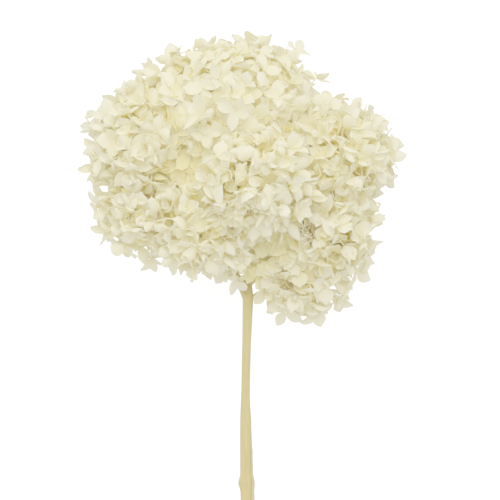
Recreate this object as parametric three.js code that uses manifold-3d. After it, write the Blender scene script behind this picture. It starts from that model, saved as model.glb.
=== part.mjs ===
// A cut, preserved mophead hydrangea, lying on its back on a flat surface.
//
// One straight stem forks into a short rachis that carries eleven rays. Each ray ends in a hub and
// a few arms, and each arm holds one cluster of four-sepalled florets on thin pedicels. The florets
// of a ray stand on a sphere round its hub, so the head is a cloud of eleven rounded lobes.
//
// Millimetres. The flower is laid out upright, with the fork at the origin, +Z up the stem, +X to
// its right and +Y to its back. It is then turned on to its back until the cut end of the stem and
// the pressed florets at the back of the head touch the surface at z = 0.

import * as THREE from 'three';
import { mergeVertices } from 'three/addons/utils/BufferGeometryUtils.js';
import Module from 'manifold-3d';

const wasm = await Module();
wasm.setup();

// ---------------------------------------------------------------- sizes

// Main stem, below the fork
const STEM_LENGTH = 167; // from the fork to the cut end
const STEM_RADIUS = 3.1; // over the lower half
const NECK_RADIUS = 2.6; // over the slim upper half
const STEM_BOW = 1.6; // how far the middle bends to the left
const STEM_SIDES = 12;
const CUT_SLOPE = 0.5; // rise of the slanted cut across the stem
const NECK_BELOW_FORK = [28, 52]; // where the slim stretch begins and ends
const LEAF_NODES = [
  { belowFork: 109, swelling: 0.4 },
  { belowFork: 140, swelling: 0.8 },
];
const LEAF_NODE_HALF = 6; // half the length of the swelling at a leaf node

// Rachis, above the fork
const FORK_RADIUS = 3.2;
const RACHIS_LENGTH = 40;
const RACHIS_BASE_RADIUS = 2.1;
const RACHIS_TIP_RADIUS = 1.4;
const FORK_TAPER = 9; // from the fork's full radius to the base of the rachis

// Side shoot, which grows from the lower leaf node and lies along the right of the stem
const SHOOT_TOP_BELOW_FORK = 72;
const SHOOT_BASE_RADIUS = 1.5;
const SHOOT_TIP_RADIUS = 0.6;
const SHOOT_SIDES = 8;
const SHOOT_STEPS = 14;
const SHOOT_CLEARANCE = 0.4;

// Rays: one stout piece from the rachis to the hub, and an arm to each cluster
const RAY_BASE_RADIUS = 1.4;
const RAY_END_RADIUS = 1.0;
const HUB_RADIUS = 1.5;
const ARM_BASE_RADIUS = 0.8;
const ARM_TIP_RADIUS = 0.6;
const ARM_REACH = 0.58; // of the lobe's radius
const RAY_SIDES = 6;

// Clusters: a knob on the arm's tip, pedicels, and the florets
const KNOB_RADIUS = 1.7;
const PEDICEL_RADIUS = 0.5;
const PEDICEL_SIDES = 3;
const FLORET_RADIUS = 9.8; // from the centre to the tip of a sepal
const NOTCH_RADIUS = 5.2; // from the centre to the notch between two sepals
const SEPAL_COUNT = 4;
const SEPAL_HALF_ANGLE = THREE.MathUtils.degToRad(29); // half the blunt end of a sepal
const SEPAL_THICKNESS = 0.9;
const CUP_HEIGHT = 1.6; // how far the tips of the sepals stand in front of the notches
const FLORET_LEAN = 0.22; // slope of a floret against the lobe's surface

// Between pieces
const JOINT_GAP = 0.3; // where one piece grows out of another
const FLORET_GAP = 0.5; // between neighbouring florets and anything near them
const CREASE_OVERLAP = 3; // how far a floret may stand inside a neighbouring lobe

// Lying down
const HEAD_PRESS = 8; // how far the back of the head is flattened by the surface
const FLAT_FACING = 0.78; // a floret that faces the surface more squarely than this lies flat on it

// The lobes of the head: place of the hub and radius, where the ray leaves the rachis, and the
// number of clusters
const LOBES = [
  { name: 'crown', hub: [-8, 4, 104], radius: 52, leaves: 'tip', clusters: 4 },
  { name: 'upper_left', hub: [-38, -2, 111], radius: 34, leaves: 33, clusters: 2 },
  { name: 'far_left', hub: [-58, -6, 90], radius: 36, leaves: 22, clusters: 3 },
  { name: 'left', hub: [-64, -8, 52], radius: 30, leaves: 11, clusters: 2 },
  { name: 'lower_left', hub: [-26, -22, 44], radius: 34, leaves: -1, clusters: 3 },
  { name: 'front', hub: [4, -38, 68], radius: 38, leaves: 15, clusters: 4 },
  { name: 'right', hub: [50, -8, 82], radius: 37, leaves: 26, clusters: 3 },
  { name: 'lower_right', hub: [46, -8, 42], radius: 31, leaves: 12, clusters: 2 },
  { name: 'drooping', hub: [33, 0, 14], radius: 27, leaves: 2, clusters: 2 },
  { name: 'back_left', hub: [-30, 34, 66], radius: 40, leaves: 18, clusters: 3 },
  { name: 'back_right', hub: [28, 36, 64], radius: 40, leaves: 20, clusters: 3 },
];

const GOLDEN_ANGLE = Math.PI * (3 - Math.sqrt(5));
const SPHERE_PACKING = 3.09; // spacing of points that a golden spiral spreads over a sphere
const OPEN_TRIALS = 400; // directions tried when the open side of a lobe is sought
const SHARING_ROUNDS = 6; // rounds in which clusters share that side evenly

// Furthest that any point of a floret is from the middle of its front
const FLORET_REACH = Math.hypot(FLORET_RADIUS, CUP_HEIGHT + SEPAL_THICKNESS);

// ---------------------------------------------------------------- colours

const stemMaterial = () => new THREE.MeshStandardMaterial({ color: 0xdacfa2, roughness: 0.75, metalness: 0 });
const rayMaterial = () => new THREE.MeshStandardMaterial({ color: 0xded3a8, roughness: 0.8, metalness: 0 });
const sepalMaterial = () => new THREE.MeshStandardMaterial({ color: 0xe4dfc3, roughness: 0.85, metalness: 0 });

// ---------------------------------------------------------------- solids

/** A closed solid from a geometry whose vertices are shared by place alone. */
function solidOf(geometry) {
  const bare = geometry.clone();
  bare.deleteAttribute('normal');
  bare.deleteAttribute('uv');
  const merged = mergeVertices(bare, 1e-4);
  return new wasm.Manifold(new wasm.Mesh({
    numProp: 3,
    vertProperties: new Float32Array(merged.attributes.position.array),
    triVerts: new Uint32Array(merged.index.array),
  }));
}

/** The geometry of a solid. */
function geometryOf(solid) {
  const mesh = solid.getMesh();
  const geometry = new THREE.BufferGeometry();
  geometry.setAttribute('position', new THREE.BufferAttribute(new Float32Array(mesh.vertProperties), 3));
  geometry.setIndex(new THREE.BufferAttribute(new Uint32Array(mesh.triVerts), 1));
  geometry.computeVertexNormals();
  return geometry;
}

/** One solid from geometries that run into each other. */
function joined(geometries) {
  const solids = geometries.map(solidOf);
  return geometryOf(solids.reduce((whole, next) => whole.add(next)));
}

/** A round rod along a path. radiusAt gives its radius from 0, the start, to 1, the end. */
function rodGeometry(path, radiusAt, sides, steps) {
  const geometry = new THREE.CylinderGeometry(1, 1, 1, sides, steps);
  const frames = path.computeFrenetFrames(steps, false);
  const vertices = geometry.attributes.position;
  const vertex = new THREE.Vector3();
  for (let i = 0; i < vertices.count; i++) {
    vertex.fromBufferAttribute(vertices, i);
    const step = Math.round((vertex.y + 0.5) * steps);
    const radius = radiusAt(step / steps);
    const moved = path.getPointAt(step / steps);
    moved.addScaledVector(frames.binormals[step], vertex.x * radius);
    moved.addScaledVector(frames.normals[step], vertex.z * radius);
    vertices.setXYZ(i, moved.x, moved.y, moved.z);
  }
  return geometry;
}

/** A straight rod between two points, tapering from one radius to the other. */
function straightRod(start, end, startRadius, endRadius, sides) {
  const radiusAt = (along) => THREE.MathUtils.lerp(startRadius, endRadius, along);
  return rodGeometry(new THREE.LineCurve3(start, end), radiusAt, sides, 1);
}

// ---------------------------------------------------------------- stem

/** Sideways place of the stem's axis at a height, bowed between the fork and the cut. */
function stemBowAt(height) {
  const along = THREE.MathUtils.clamp(-height / STEM_LENGTH, 0, 1);
  return -STEM_BOW * 4 * along * (1 - along);
}

/** Radius of the stem without its leaf nodes: slim at the neck, wider at the fork and below. */
function plainStemRadiusAt(height) {
  const [neckTop, neckBottom] = NECK_BELOW_FORK;
  if (-height < neckTop) {
    return THREE.MathUtils.mapLinear(-height, 0, neckTop, FORK_RADIUS, NECK_RADIUS);
  }
  const widening = THREE.MathUtils.smoothstep(-height, neckBottom, neckBottom * 1.5);
  return THREE.MathUtils.lerp(NECK_RADIUS, STEM_RADIUS, widening);
}

/** Radius of the stem with the swellings at its leaf nodes. */
function stemRadiusAt(height) {
  const swellings = LEAF_NODES.map(({ belowFork, swelling }) => {
    const away = Math.min(Math.abs(height + belowFork) / LEAF_NODE_HALF, 1);
    return swelling * (1 - away);
  });
  return plainStemRadiusAt(height) + Math.max(...swellings);
}

/** Radius of the rachis at a height above the fork. */
function rachisRadiusAt(height) {
  if (height < FORK_TAPER) {
    return THREE.MathUtils.mapLinear(height, 0, FORK_TAPER, FORK_RADIUS, RACHIS_BASE_RADIUS);
  }
  return THREE.MathUtils.mapLinear(
    height, FORK_TAPER, RACHIS_LENGTH, RACHIS_BASE_RADIUS, RACHIS_TIP_RADIUS,
  );
}

/** Main stem and rachis, turned as one piece, bowed, and cut at a slant below. */
function mainStemGeometry() {
  const [neckTop, neckBottom] = NECK_BELOW_FORK;
  const nodeHeights = LEAF_NODES.flatMap(({ belowFork }) => [
    -belowFork - LEAF_NODE_HALF,
    -belowFork,
    -belowFork + LEAF_NODE_HALF,
  ]);
  const heights = [-STEM_LENGTH, ...nodeHeights, -neckBottom * 1.5, -neckBottom, -neckTop, 0];
  heights.sort((a, b) => a - b);
  const profile = [
    new THREE.Vector2(0, -STEM_LENGTH),
    ...heights.map((height) => new THREE.Vector2(stemRadiusAt(height), height)),
    new THREE.Vector2(RACHIS_BASE_RADIUS, FORK_TAPER),
    new THREE.Vector2(RACHIS_TIP_RADIUS, RACHIS_LENGTH),
    new THREE.Vector2(0, RACHIS_LENGTH),
  ];
  const geometry = new THREE.LatheGeometry(profile, STEM_SIDES);
  geometry.rotateX(Math.PI / 2);
  const vertices = geometry.attributes.position;
  for (let i = 0; i < vertices.count; i++) {
    const height = vertices.getZ(i);
    const isCut = height < -STEM_LENGTH + 1e-3;
    const cutRise = isCut ? CUT_SLOPE * (STEM_RADIUS - vertices.getY(i)) : 0;
    vertices.setZ(i, height + cutRise);
    vertices.setX(i, vertices.getX(i) + stemBowAt(height));
  }
  return geometryOf(solidOf(geometry));
}

/** Side shoot: a tapering rod that follows the right of the stem, clear of it all along. */
function sideShootGeometry() {
  const bottom = -LEAF_NODES[1].belowFork;
  const top = -SHOOT_TOP_BELOW_FORK;
  const radiusAt = (along) => THREE.MathUtils.lerp(SHOOT_BASE_RADIUS, SHOOT_TIP_RADIUS, along);
  const points = [];
  for (let step = 0; step <= SHOOT_STEPS; step++) {
    const along = step / SHOOT_STEPS;
    const height = THREE.MathUtils.lerp(bottom, top, along);
    const offset = stemRadiusAt(height) + SHOOT_CLEARANCE + radiusAt(along);
    points.push(new THREE.Vector3(stemBowAt(height) + offset, 0, height));
  }
  const path = new THREE.CatmullRomCurve3(points);
  return geometryOf(solidOf(rodGeometry(path, radiusAt, SHOOT_SIDES, SHOOT_STEPS)));
}

// ---------------------------------------------------------------- lying down

/** Turns a point of the upright flower on to its back, with the stem at a slope. */
function turnedDown(point, tilt) {
  return point.clone().applyAxisAngle(new THREE.Vector3(1, 0, 0), tilt - Math.PI / 2);
}

/** Height of the surface below the fork, set by the cut end that rests on it. */
function surfaceHeight(tilt) {
  return turnedDown(new THREE.Vector3(0, STEM_RADIUS, -STEM_LENGTH), tilt).z;
}

/** Height of the lowest floret of a head that nothing presses. */
function freeHeadBottom(tilt) {
  const bottoms = LOBES.map(({ hub, radius }) => {
    return turnedDown(new THREE.Vector3(...hub), tilt).z - radius;
  });
  return Math.min(...bottoms);
}

/** Slope at which the cut end rests on the surface and the head is pressed by HEAD_PRESS. */
function restingTilt() {
  let low = 0;
  let high = Math.PI / 4;
  for (let halving = 0; halving < 40; halving++) {
    const middle = (low + high) / 2;
    const tooFlat = freeHeadBottom(middle) + HEAD_PRESS < surfaceHeight(middle);
    if (tooFlat) {
      low = middle;
    } else {
      high = middle;
    }
  }
  return low;
}

const TILT = restingTilt();
const SURFACE = surfaceHeight(TILT);
const STEM_AXIS = turnedDown(new THREE.Vector3(0, 0, 1), TILT);

/** A point of the upright flower, where it lies once the flower is on its back. */
const laid = (x, y, z) => turnedDown(new THREE.Vector3(x, y, z), TILT);

// ---------------------------------------------------------------- room

// Rods and florets that are in place, so that what comes later keeps clear of them
const placedRods = [];
const placedFlorets = [];

/** Smallest distance between two straight pieces. */
const lineGap = (a, b) => Math.sqrt(a.distanceSqToLine3(b));

/** Smallest distance from a point to a straight piece. */
function pointGap(point, line) {
  return line.closestPointToPoint(point, true, new THREE.Vector3()).distanceTo(point);
}

/** Notes a rod that belongs to a node. */
function placeRod(node, start, end, radius) {
  placedRods.push({ node, line: new THREE.Line3(start, end), radius });
}

/** Whether a new rod of a node keeps clear of all other nodes' rods and of every floret. */
function rodHasRoom(node, line, radius) {
  const clearOfRods = placedRods.every((rod) => {
    return rod.node === node || lineGap(rod.line, line) >= rod.radius + radius + JOINT_GAP;
  });
  const clearOfFlorets = placedFlorets.every((centre) => {
    return pointGap(centre, line) >= FLORET_REACH + radius;
  });
  return clearOfRods && clearOfFlorets;
}

/** Whether a floret at a point keeps clear of all florets and rods. */
function floretHasRoom(centre) {
  const clearOfFlorets = placedFlorets.every((other) => {
    return other.distanceTo(centre) >= 2 * FLORET_REACH + FLORET_GAP;
  });
  const clearOfRods = placedRods.every((rod) => {
    return pointGap(centre, rod.line) >= FLORET_REACH + rod.radius + FLORET_GAP;
  });
  return clearOfFlorets && clearOfRods;
}

// ---------------------------------------------------------------- lobes

/** Evenly spread directions over a sphere, along a golden spiral. */
function spreadDirections(count, turn) {
  return Array.from({ length: count }, (_, i) => {
    const height = 1 - (2 * i + 1) / count;
    const girth = Math.sqrt(1 - height * height);
    const angle = turn + i * GOLDEN_ANGLE;
    return new THREE.Vector3(girth * Math.cos(angle), girth * Math.sin(angle), height);
  });
}

/** Whether a point of one lobe stands outside every other lobe. */
function isOutside(point, ownName) {
  return LOBES.every(({ name, hub, radius }) => {
    return name === ownName || point.distanceTo(laid(...hub)) >= radius - CREASE_OVERLAP;
  });
}

/** The direction of a list that lies nearest to a given one. */
function nearestTo(direction, directions) {
  return directions.reduce((best, next) => (next.dot(direction) > best.dot(direction) ? next : best));
}

/** Directions of a lobe's clusters: each stands in the middle of its share of the open side. */
function clusterDirections({ name, hub, radius, clusters }) {
  const open = spreadDirections(OPEN_TRIALS, 0).filter((direction) => {
    const face = hub.clone().addScaledVector(direction, radius);
    return isOutside(face, name) && floretHasRoom(face);
  });
  let middles = [open[0]];
  while (middles.length < clusters) {
    const closeness = (direction) => nearestTo(direction, middles).dot(direction);
    middles.push(open.reduce((best, next) => (closeness(next) < closeness(best) ? next : best)));
  }
  for (let round = 0; round < SHARING_ROUNDS; round++) {
    middles = middles.map((middle) => {
      const share = open.filter((direction) => nearestTo(direction, middles) === middle);
      return share.reduce((sum, direction) => sum.add(direction), new THREE.Vector3()).normalize();
    });
  }
  return middles;
}

/** Where a ray starts: beside the rachis or past its tip, clear of it by JOINT_GAP. */
function rayStart({ leaves }, hub) {
  const atTip = leaves === 'tip';
  const root = STEM_AXIS.clone().multiplyScalar(atTip ? RACHIS_LENGTH : leaves);
  const toHub = hub.clone().sub(root).normalize();
  const along = toHub.dot(STEM_AXIS);
  if (atTip) {
    const across = Math.sqrt(1 - along * along);
    const edges = across * (RAY_BASE_RADIUS + RACHIS_TIP_RADIUS);
    return root.addScaledVector(toHub, (JOINT_GAP + edges) / along);
  }
  const outward = toHub.addScaledVector(STEM_AXIS, -along).normalize();
  const fullest = rachisRadiusAt(Math.max(leaves - RAY_BASE_RADIUS, 0));
  return root.addScaledVector(outward, fullest + JOINT_GAP + RAY_BASE_RADIUS * along);
}

/** Grows the ray of a lobe from the rachis to its hub. */
function grownRay(lobe) {
  const hub = laid(...lobe.hub);
  const ray = { ...lobe, node: `ray_${lobe.name}`, hub, start: rayStart(lobe, hub) };
  placeRod(ray.node, ray.start, hub, RAY_BASE_RADIUS);
  return ray;
}

/** Grows an arm from the hub of a lobe to the knob of each of its clusters. */
function grownArms(lobe) {
  const reach = ARM_REACH * lobe.radius;
  const clusters = clusterDirections(lobe).map((direction, index) => ({
    node: `${lobe.name}_florets_${index + 1}`,
    direction,
    knob: lobe.hub.clone().addScaledVector(direction, reach),
    armEnd: lobe.hub.clone().addScaledVector(direction, reach - KNOB_RADIUS - JOINT_GAP),
    florets: [],
  }));
  return { ...lobe, clusters };
}

/** Ray of a lobe: the stout piece, the ball at the hub, and an arm to each cluster. */
function rayGeometry({ start, hub, clusters }) {
  const ball = new THREE.IcosahedronGeometry(HUB_RADIUS);
  ball.translate(hub.x, hub.y, hub.z);
  const arms = clusters.map(({ armEnd }) => {
    return straightRod(hub, armEnd, ARM_BASE_RADIUS, ARM_TIP_RADIUS, RAY_SIDES);
  });
  return joined([ball, straightRod(start, hub, RAY_BASE_RADIUS, RAY_END_RADIUS, RAY_SIDES), ...arms]);
}

// ---------------------------------------------------------------- florets

/** Outline of a floret: four blunt sepals, each between two notches. */
function floretOutline() {
  const outline = new THREE.Shape();
  const turn = (2 * Math.PI) / SEPAL_COUNT;
  const corner = (angle, radius) => [radius * Math.cos(angle), radius * Math.sin(angle)];
  for (let sepal = 0; sepal < SEPAL_COUNT; sepal++) {
    const middle = sepal * turn;
    const notch = corner(middle - turn / 2, NOTCH_RADIUS);
    if (sepal === 0) {
      outline.moveTo(...notch);
    } else {
      outline.lineTo(...notch);
    }
    outline.lineTo(...corner(middle - SEPAL_HALF_ANGLE, FLORET_RADIUS));
    outline.lineTo(...corner(middle + SEPAL_HALF_ANGLE, FLORET_RADIUS));
  }
  outline.closePath();
  return outline;
}

const FLORET_OUTLINE = floretOutline();

/** A floret's plate, its front facing the given way, cupped unless it is pressed flat. */
function floretGeometry({ centre, facing, spin, isFlat }) {
  const geometry = new THREE.ExtrudeGeometry(FLORET_OUTLINE, { depth: SEPAL_THICKNESS, bevelEnabled: false });
  geometry.translate(0, 0, -SEPAL_THICKNESS);
  const vertices = geometry.attributes.position;
  for (let i = 0; i < vertices.count && !isFlat; i++) {
    const outward = Math.hypot(vertices.getX(i), vertices.getY(i));
    const rise = (CUP_HEIGHT * (outward - NOTCH_RADIUS)) / (FLORET_RADIUS - NOTCH_RADIUS);
    vertices.setZ(i, vertices.getZ(i) + rise);
  }
  geometry.rotateZ(spin);
  const turn = new THREE.Quaternion().setFromUnitVectors(new THREE.Vector3(0, 0, 1), facing);
  geometry.applyQuaternion(turn);
  geometry.translate(centre.x, centre.y, centre.z);
  return geometry;
}

/** A floret on a lobe's sphere. The surface below presses it flat, or lifts it clear. */
function standingFloret(lobe, direction, index) {
  const centre = lobe.hub.clone().addScaledVector(direction, lobe.radius);
  const sideways = new THREE.Vector3().crossVectors(direction, STEM_AXIS).normalize();
  sideways.applyAxisAngle(direction, index * GOLDEN_ANGLE);
  const facing = direction.clone().addScaledVector(sideways, FLORET_LEAN).normalize();
  const floret = { centre, facing, spin: index * GOLDEN_ANGLE, isFlat: false };
  const drop = FLORET_REACH * Math.sqrt(1 - facing.z * facing.z) + SEPAL_THICKNESS;
  const reachesSurface = centre.z - drop < SURFACE;
  if (reachesSurface && -direction.z > FLAT_FACING) {
    centre.z = SURFACE;
    facing.set(0, 0, -1);
    floret.isFlat = true;
  } else if (reachesSurface) {
    centre.z = SURFACE + drop + CUP_HEIGHT;
  }
  return floret;
}

/** Fills the open side of a lobe with florets at about a spacing, wherever there is room. */
function growFlorets(lobe, spacing, turn) {
  const count = Math.floor((SPHERE_PACKING * lobe.radius / spacing) ** 2);
  const middles = lobe.clusters.map(({ direction }) => direction);
  spreadDirections(count, turn).forEach((direction, index) => {
    const floret = standingFloret(lobe, direction, index);
    const cluster = lobe.clusters[middles.indexOf(nearestTo(direction, middles))];
    const back = floret.centre.clone().addScaledVector(floret.facing, -SEPAL_THICKNESS / 2);
    const pedicel = new THREE.Line3(cluster.knob, back);
    const fits = isOutside(floret.centre, lobe.name)
      && floretHasRoom(floret.centre)
      && rodHasRoom(cluster.node, pedicel, PEDICEL_RADIUS);
    if (fits) {
      cluster.florets.push({ ...floret, back });
      placedFlorets.push(floret.centre);
      placeRod(cluster.node, cluster.knob, back, PEDICEL_RADIUS);
    }
  });
}

/** One cluster: its knob, and a pedicel and a plate for each floret. */
function clusterGeometry({ knob, florets }) {
  const ball = new THREE.IcosahedronGeometry(KNOB_RADIUS);
  ball.translate(knob.x, knob.y, knob.z);
  const pieces = florets.flatMap((floret) => [
    straightRod(knob, floret.back, PEDICEL_RADIUS, PEDICEL_RADIUS, PEDICEL_SIDES),
    floretGeometry(floret),
  ]);
  return joined([ball, ...pieces]);
}

// ---------------------------------------------------------------- the flower

/** Grows the head: rays and arms, florets at full spacing, then more in the gaps between them. */
function grownLobes() {
  const cutEnd = STEM_AXIS.clone().multiplyScalar(-STEM_LENGTH);
  const tip = STEM_AXIS.clone().multiplyScalar(RACHIS_LENGTH);
  placeRod('main_stem', cutEnd, tip, FORK_RADIUS + STEM_BOW);
  const lobes = LOBES.map(grownRay).map(grownArms);
  for (const { node, hub, clusters } of lobes) {
    for (const cluster of clusters) {
      placeRod(node, hub, cluster.armEnd, ARM_BASE_RADIUS);
      placeRod(cluster.node, cluster.armEnd, cluster.knob, KNOB_RADIUS);
    }
  }
  for (const crowding of [1, 2, 3]) {
    lobes.forEach((lobe, turn) => growFlorets(lobe, (2 * FLORET_REACH + FLORET_GAP) / crowding, turn));
  }
  return lobes;
}

/** A named mesh. */
function piece(name, geometry, material) {
  const mesh = new THREE.Mesh(geometry, material);
  mesh.name = name;
  return mesh;
}

const flower = new THREE.Group();

const stem = new THREE.Group();
stem.rotation.x = TILT - Math.PI / 2;
stem.add(piece('main_stem', mainStemGeometry(), stemMaterial()));
stem.add(piece('side_shoot', sideShootGeometry(), stemMaterial()));
flower.add(stem);

for (const lobe of grownLobes()) {
  flower.add(piece(lobe.node, rayGeometry(lobe), rayMaterial()));
  for (const cluster of lobe.clusters) {
    flower.add(piece(cluster.node, clusterGeometry(cluster), sepalMaterial()));
  }
}

// The surface is z = 0, with the origin under the middle of the flower
flower.updateMatrixWorld(true);
const extent = new THREE.Box3().setFromObject(flower, true);
const middle = extent.getCenter(new THREE.Vector3());
flower.position.set(-middle.x, -middle.y, -SURFACE);

export default flower;
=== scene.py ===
"""Looks of a cut, preserved mophead hydrangea that lies on its back on a pale floor.

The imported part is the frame: its boxes say where the stem lies, how steeply it is tilted and where
each cluster of florets stands. Round them this file builds the sepals, buttons, pedicels, stalks
and stem as closed surfaces, worked out with numpy as functions of two parameters on a grid.

Lengths are metres. The upright flower's frame has its origin at the fork of the stem, +Z up the
stem, +X to its right and +Y to its back. FlowerFrame turns it on to its back, into the row's
frame, where the floor is z = 0.
"""

import logging
import math
from dataclasses import dataclass, field
from enum import Enum

import bpy
import numpy as np
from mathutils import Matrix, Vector


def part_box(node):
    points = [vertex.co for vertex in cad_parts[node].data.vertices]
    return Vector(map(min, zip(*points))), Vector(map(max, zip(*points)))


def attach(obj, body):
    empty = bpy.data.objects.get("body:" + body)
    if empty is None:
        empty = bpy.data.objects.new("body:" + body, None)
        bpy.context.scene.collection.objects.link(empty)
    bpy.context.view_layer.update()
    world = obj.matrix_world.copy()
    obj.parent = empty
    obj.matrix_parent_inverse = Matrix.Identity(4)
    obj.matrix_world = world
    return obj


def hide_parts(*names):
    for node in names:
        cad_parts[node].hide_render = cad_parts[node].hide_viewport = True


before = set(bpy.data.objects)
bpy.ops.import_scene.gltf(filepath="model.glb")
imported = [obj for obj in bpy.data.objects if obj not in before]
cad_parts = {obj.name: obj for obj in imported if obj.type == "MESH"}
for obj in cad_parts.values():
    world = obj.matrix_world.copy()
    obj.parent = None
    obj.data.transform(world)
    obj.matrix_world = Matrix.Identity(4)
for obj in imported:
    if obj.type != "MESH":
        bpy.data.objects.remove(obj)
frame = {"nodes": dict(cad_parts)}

log = logging.getLogger("hydrangea")
Array = np.ndarray
Span = tuple[float, float]
Triple = tuple[float, float, float]
Colour = Triple
Socket = bpy.types.NodeSocket
MM = 0.001
GOLDEN_ANGLE = math.pi * (3 - math.sqrt(5))
SPHERE_PACKING = 3.09  # spacing of points that a golden spiral spreads over a sphere


# ------------------------------------------------------------------ array helpers


def unit(vectors: Array) -> Array:
    """Vectors of the last axis, each divided by its length."""
    return vectors / np.maximum(np.linalg.norm(vectors, axis=-1, keepdims=True), 1e-12)


def square_to(vectors: Array) -> Array:
    """A unit vector square to each given one: its cross product with the axis it leans on least."""
    axes = np.eye(3)[np.argmin(np.abs(vectors), axis=-1)]
    return unit(np.cross(vectors, axes))


def blended(start: Array | float, end: Array | float, share: Array | float) -> Array:
    """Start times one minus the share, plus end times the share."""
    return start + (end - start) * share


def eased(value: Array, low: float, high: float) -> Array:
    """Zero below low, one above high, and three t squared less two t cubed between them."""
    t = np.clip((value - low) / (high - low), 0, 1)
    return t * t * (3 - 2 * t)


def grid_quads(rows: int, columns: int, wraps: bool) -> Array:
    """Corners of the cells of a grid of vertices.

    Args:
        rows: Vertices along the first parameter.
        columns: Vertices along the second parameter, which is to the left of the first.
        wraps: Whether the last column is followed by the first.

    Returns:
        An (n, 4) array of vertex numbers, each cell in the order that points its face outward.
    """
    row = np.arange(rows - 1)[:, None]
    column = np.arange(columns if wraps else columns - 1)[None, :]
    following = (column + 1) % columns
    corners = [
        row * columns + column,
        (row + 1) * columns + column,
        (row + 1) * columns + following,
        row * columns + following,
    ]
    return np.stack(np.broadcast_arrays(*corners), axis=-1).reshape(-1, 4)


def bent(start: Array, bend: Array, end: Array, t: Array) -> Array:
    """A curve of three points, weighted by (1 - t) squared, 2 t (1 - t) and t squared."""
    return (1 - t) ** 2 * start + 2 * t * (1 - t) * bend + t**2 * end


def bell(distance: Array | float, width: float) -> Array:
    """A bell curve: e to the power of minus the square of the distance over the width."""
    return np.exp(-((distance / width) ** 2))


def golden_directions(count: int, turn: float) -> Array:
    """Evenly spread directions: heights in equal steps, each a golden angle round from the last.

    Args:
        count: How many directions.
        turn: Angle of the first one, in radians.

    Returns:
        The directions, (count, 3).
    """
    number = np.arange(count)
    height = 1 - (2 * number + 1) / count
    girth = np.sqrt(1 - height**2)
    angle = turn + number * GOLDEN_ANGLE
    return np.stack([girth * np.cos(angle), girth * np.sin(angle), height], axis=-1)


# ------------------------------------------------------------------ skins


@dataclass
class Skin:
    """Vertices and faces of a piece, with a value at each vertex under each name."""

    vertices: Array
    quads: Array
    triangles: Array = field(default_factory=lambda: np.empty((0, 3), int))
    uv: Array | None = None
    edge: Array | None = None
    values: dict[str, Array] = field(default_factory=dict)

    @classmethod
    def joined(cls, skins: list["Skin"]) -> "Skin":
        """One skin that holds all the given ones.

        Args:
            skins: The skins, which carry the same kinds of values.

        Returns:
            The joined skin.
        """
        counts = np.cumsum([0] + [len(skin.vertices) for skin in skins])
        first = skins[0]
        return cls(
            vertices=np.concatenate([skin.vertices for skin in skins]),
            quads=np.concatenate([skin.quads + n for skin, n in zip(skins, counts)]),
            triangles=np.concatenate([skin.triangles + n for skin, n in zip(skins, counts)]),
            uv=None if first.uv is None else np.concatenate([skin.uv for skin in skins]),
            edge=None if first.edge is None else np.concatenate([skin.edge for skin in skins]),
            values={
                name: np.concatenate([skin.values[name] for skin in skins])
                for name in first.values
            },
        )

    def mesh(self, name: str) -> bpy.types.Mesh:
        """The skin as a smooth mesh, sharp where an edge joins two vertices of its rim.

        Args:
            name: The new mesh's name.

        Returns:
            The mesh, with its UV map and its attributes.
        """
        mesh = bpy.data.meshes.new(name)
        faces = self.quads.tolist() + self.triangles.tolist()
        mesh.from_pydata(self.vertices.tolist(), [], faces)
        mesh.polygons.foreach_set("use_smooth", np.ones(len(faces), bool))
        for key, value in self.values.items():
            kind = "FLOAT_VECTOR" if value.ndim == 2 else "FLOAT"
            field_name = "vector" if value.ndim == 2 else "value"
            attribute = mesh.attributes.new(key, kind, "POINT")
            attribute.data.foreach_set(field_name, value.astype(np.float32).ravel())
        if self.uv is not None:
            corners = np.empty(len(mesh.loops), np.int32)
            mesh.loops.foreach_get("vertex_index", corners)
            layer = mesh.uv_layers.new(name="UVMap")
            layer.data.foreach_set("uv", self.uv[corners].astype(np.float32).ravel())
        if self.edge is not None:
            ends = np.empty(len(mesh.edges) * 2, np.int32)
            mesh.edges.foreach_get("vertices", ends)
            sharp = self.edge[ends.reshape(-1, 2)].all(axis=1)
            mesh.attributes.new("sharp_edge", "BOOLEAN", "EDGE").data.foreach_set("value", sharp)
        mesh.update()
        return mesh


def flattened(values: Array, pole_values: Array) -> Array:
    """Values on rings, then on the two poles of each tube, one row per vertex.

    Args:
        values: Rows on the rings, (tubes, steps, sides, size).
        pole_values: Rows on the poles, (tubes, 2, size).

    Returns:
        The rows in the vertices' order.
    """
    tubes, _, _, size = values.shape
    rows = np.concatenate([values.reshape(tubes, -1, size), pole_values], axis=1)
    return rows.reshape(-1, size)


def capped_rings(rings: Array) -> Skin:
    """Closed tubes: rings joined in order, and the middle of each end ring as a pole.

    Args:
        rings: Points anticlockwise round the way along, (tubes, steps, sides, 3).

    Returns:
        The skin, with faces outward.
    """
    tubes, steps, sides, _ = rings.shape
    poles = rings[:, [0, -1]].mean(axis=2)
    offsets = (np.arange(tubes) * (steps * sides + 2))[:, None, None]
    quads = grid_quads(steps, sides, wraps=True)[:, ::-1]
    ring = np.arange(sides)
    after = (ring + 1) % sides
    last = (steps - 1) * sides
    start = np.stack([np.full(sides, steps * sides), after, ring], axis=-1)
    end = np.stack([np.full(sides, steps * sides + 1), last + ring, last + after], axis=-1)
    return Skin(
        vertices=flattened(rings, poles),
        quads=(quads[None] + offsets).reshape(-1, 4),
        triangles=(np.concatenate([start, end])[None] + offsets).reshape(-1, 3),
    )


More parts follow.
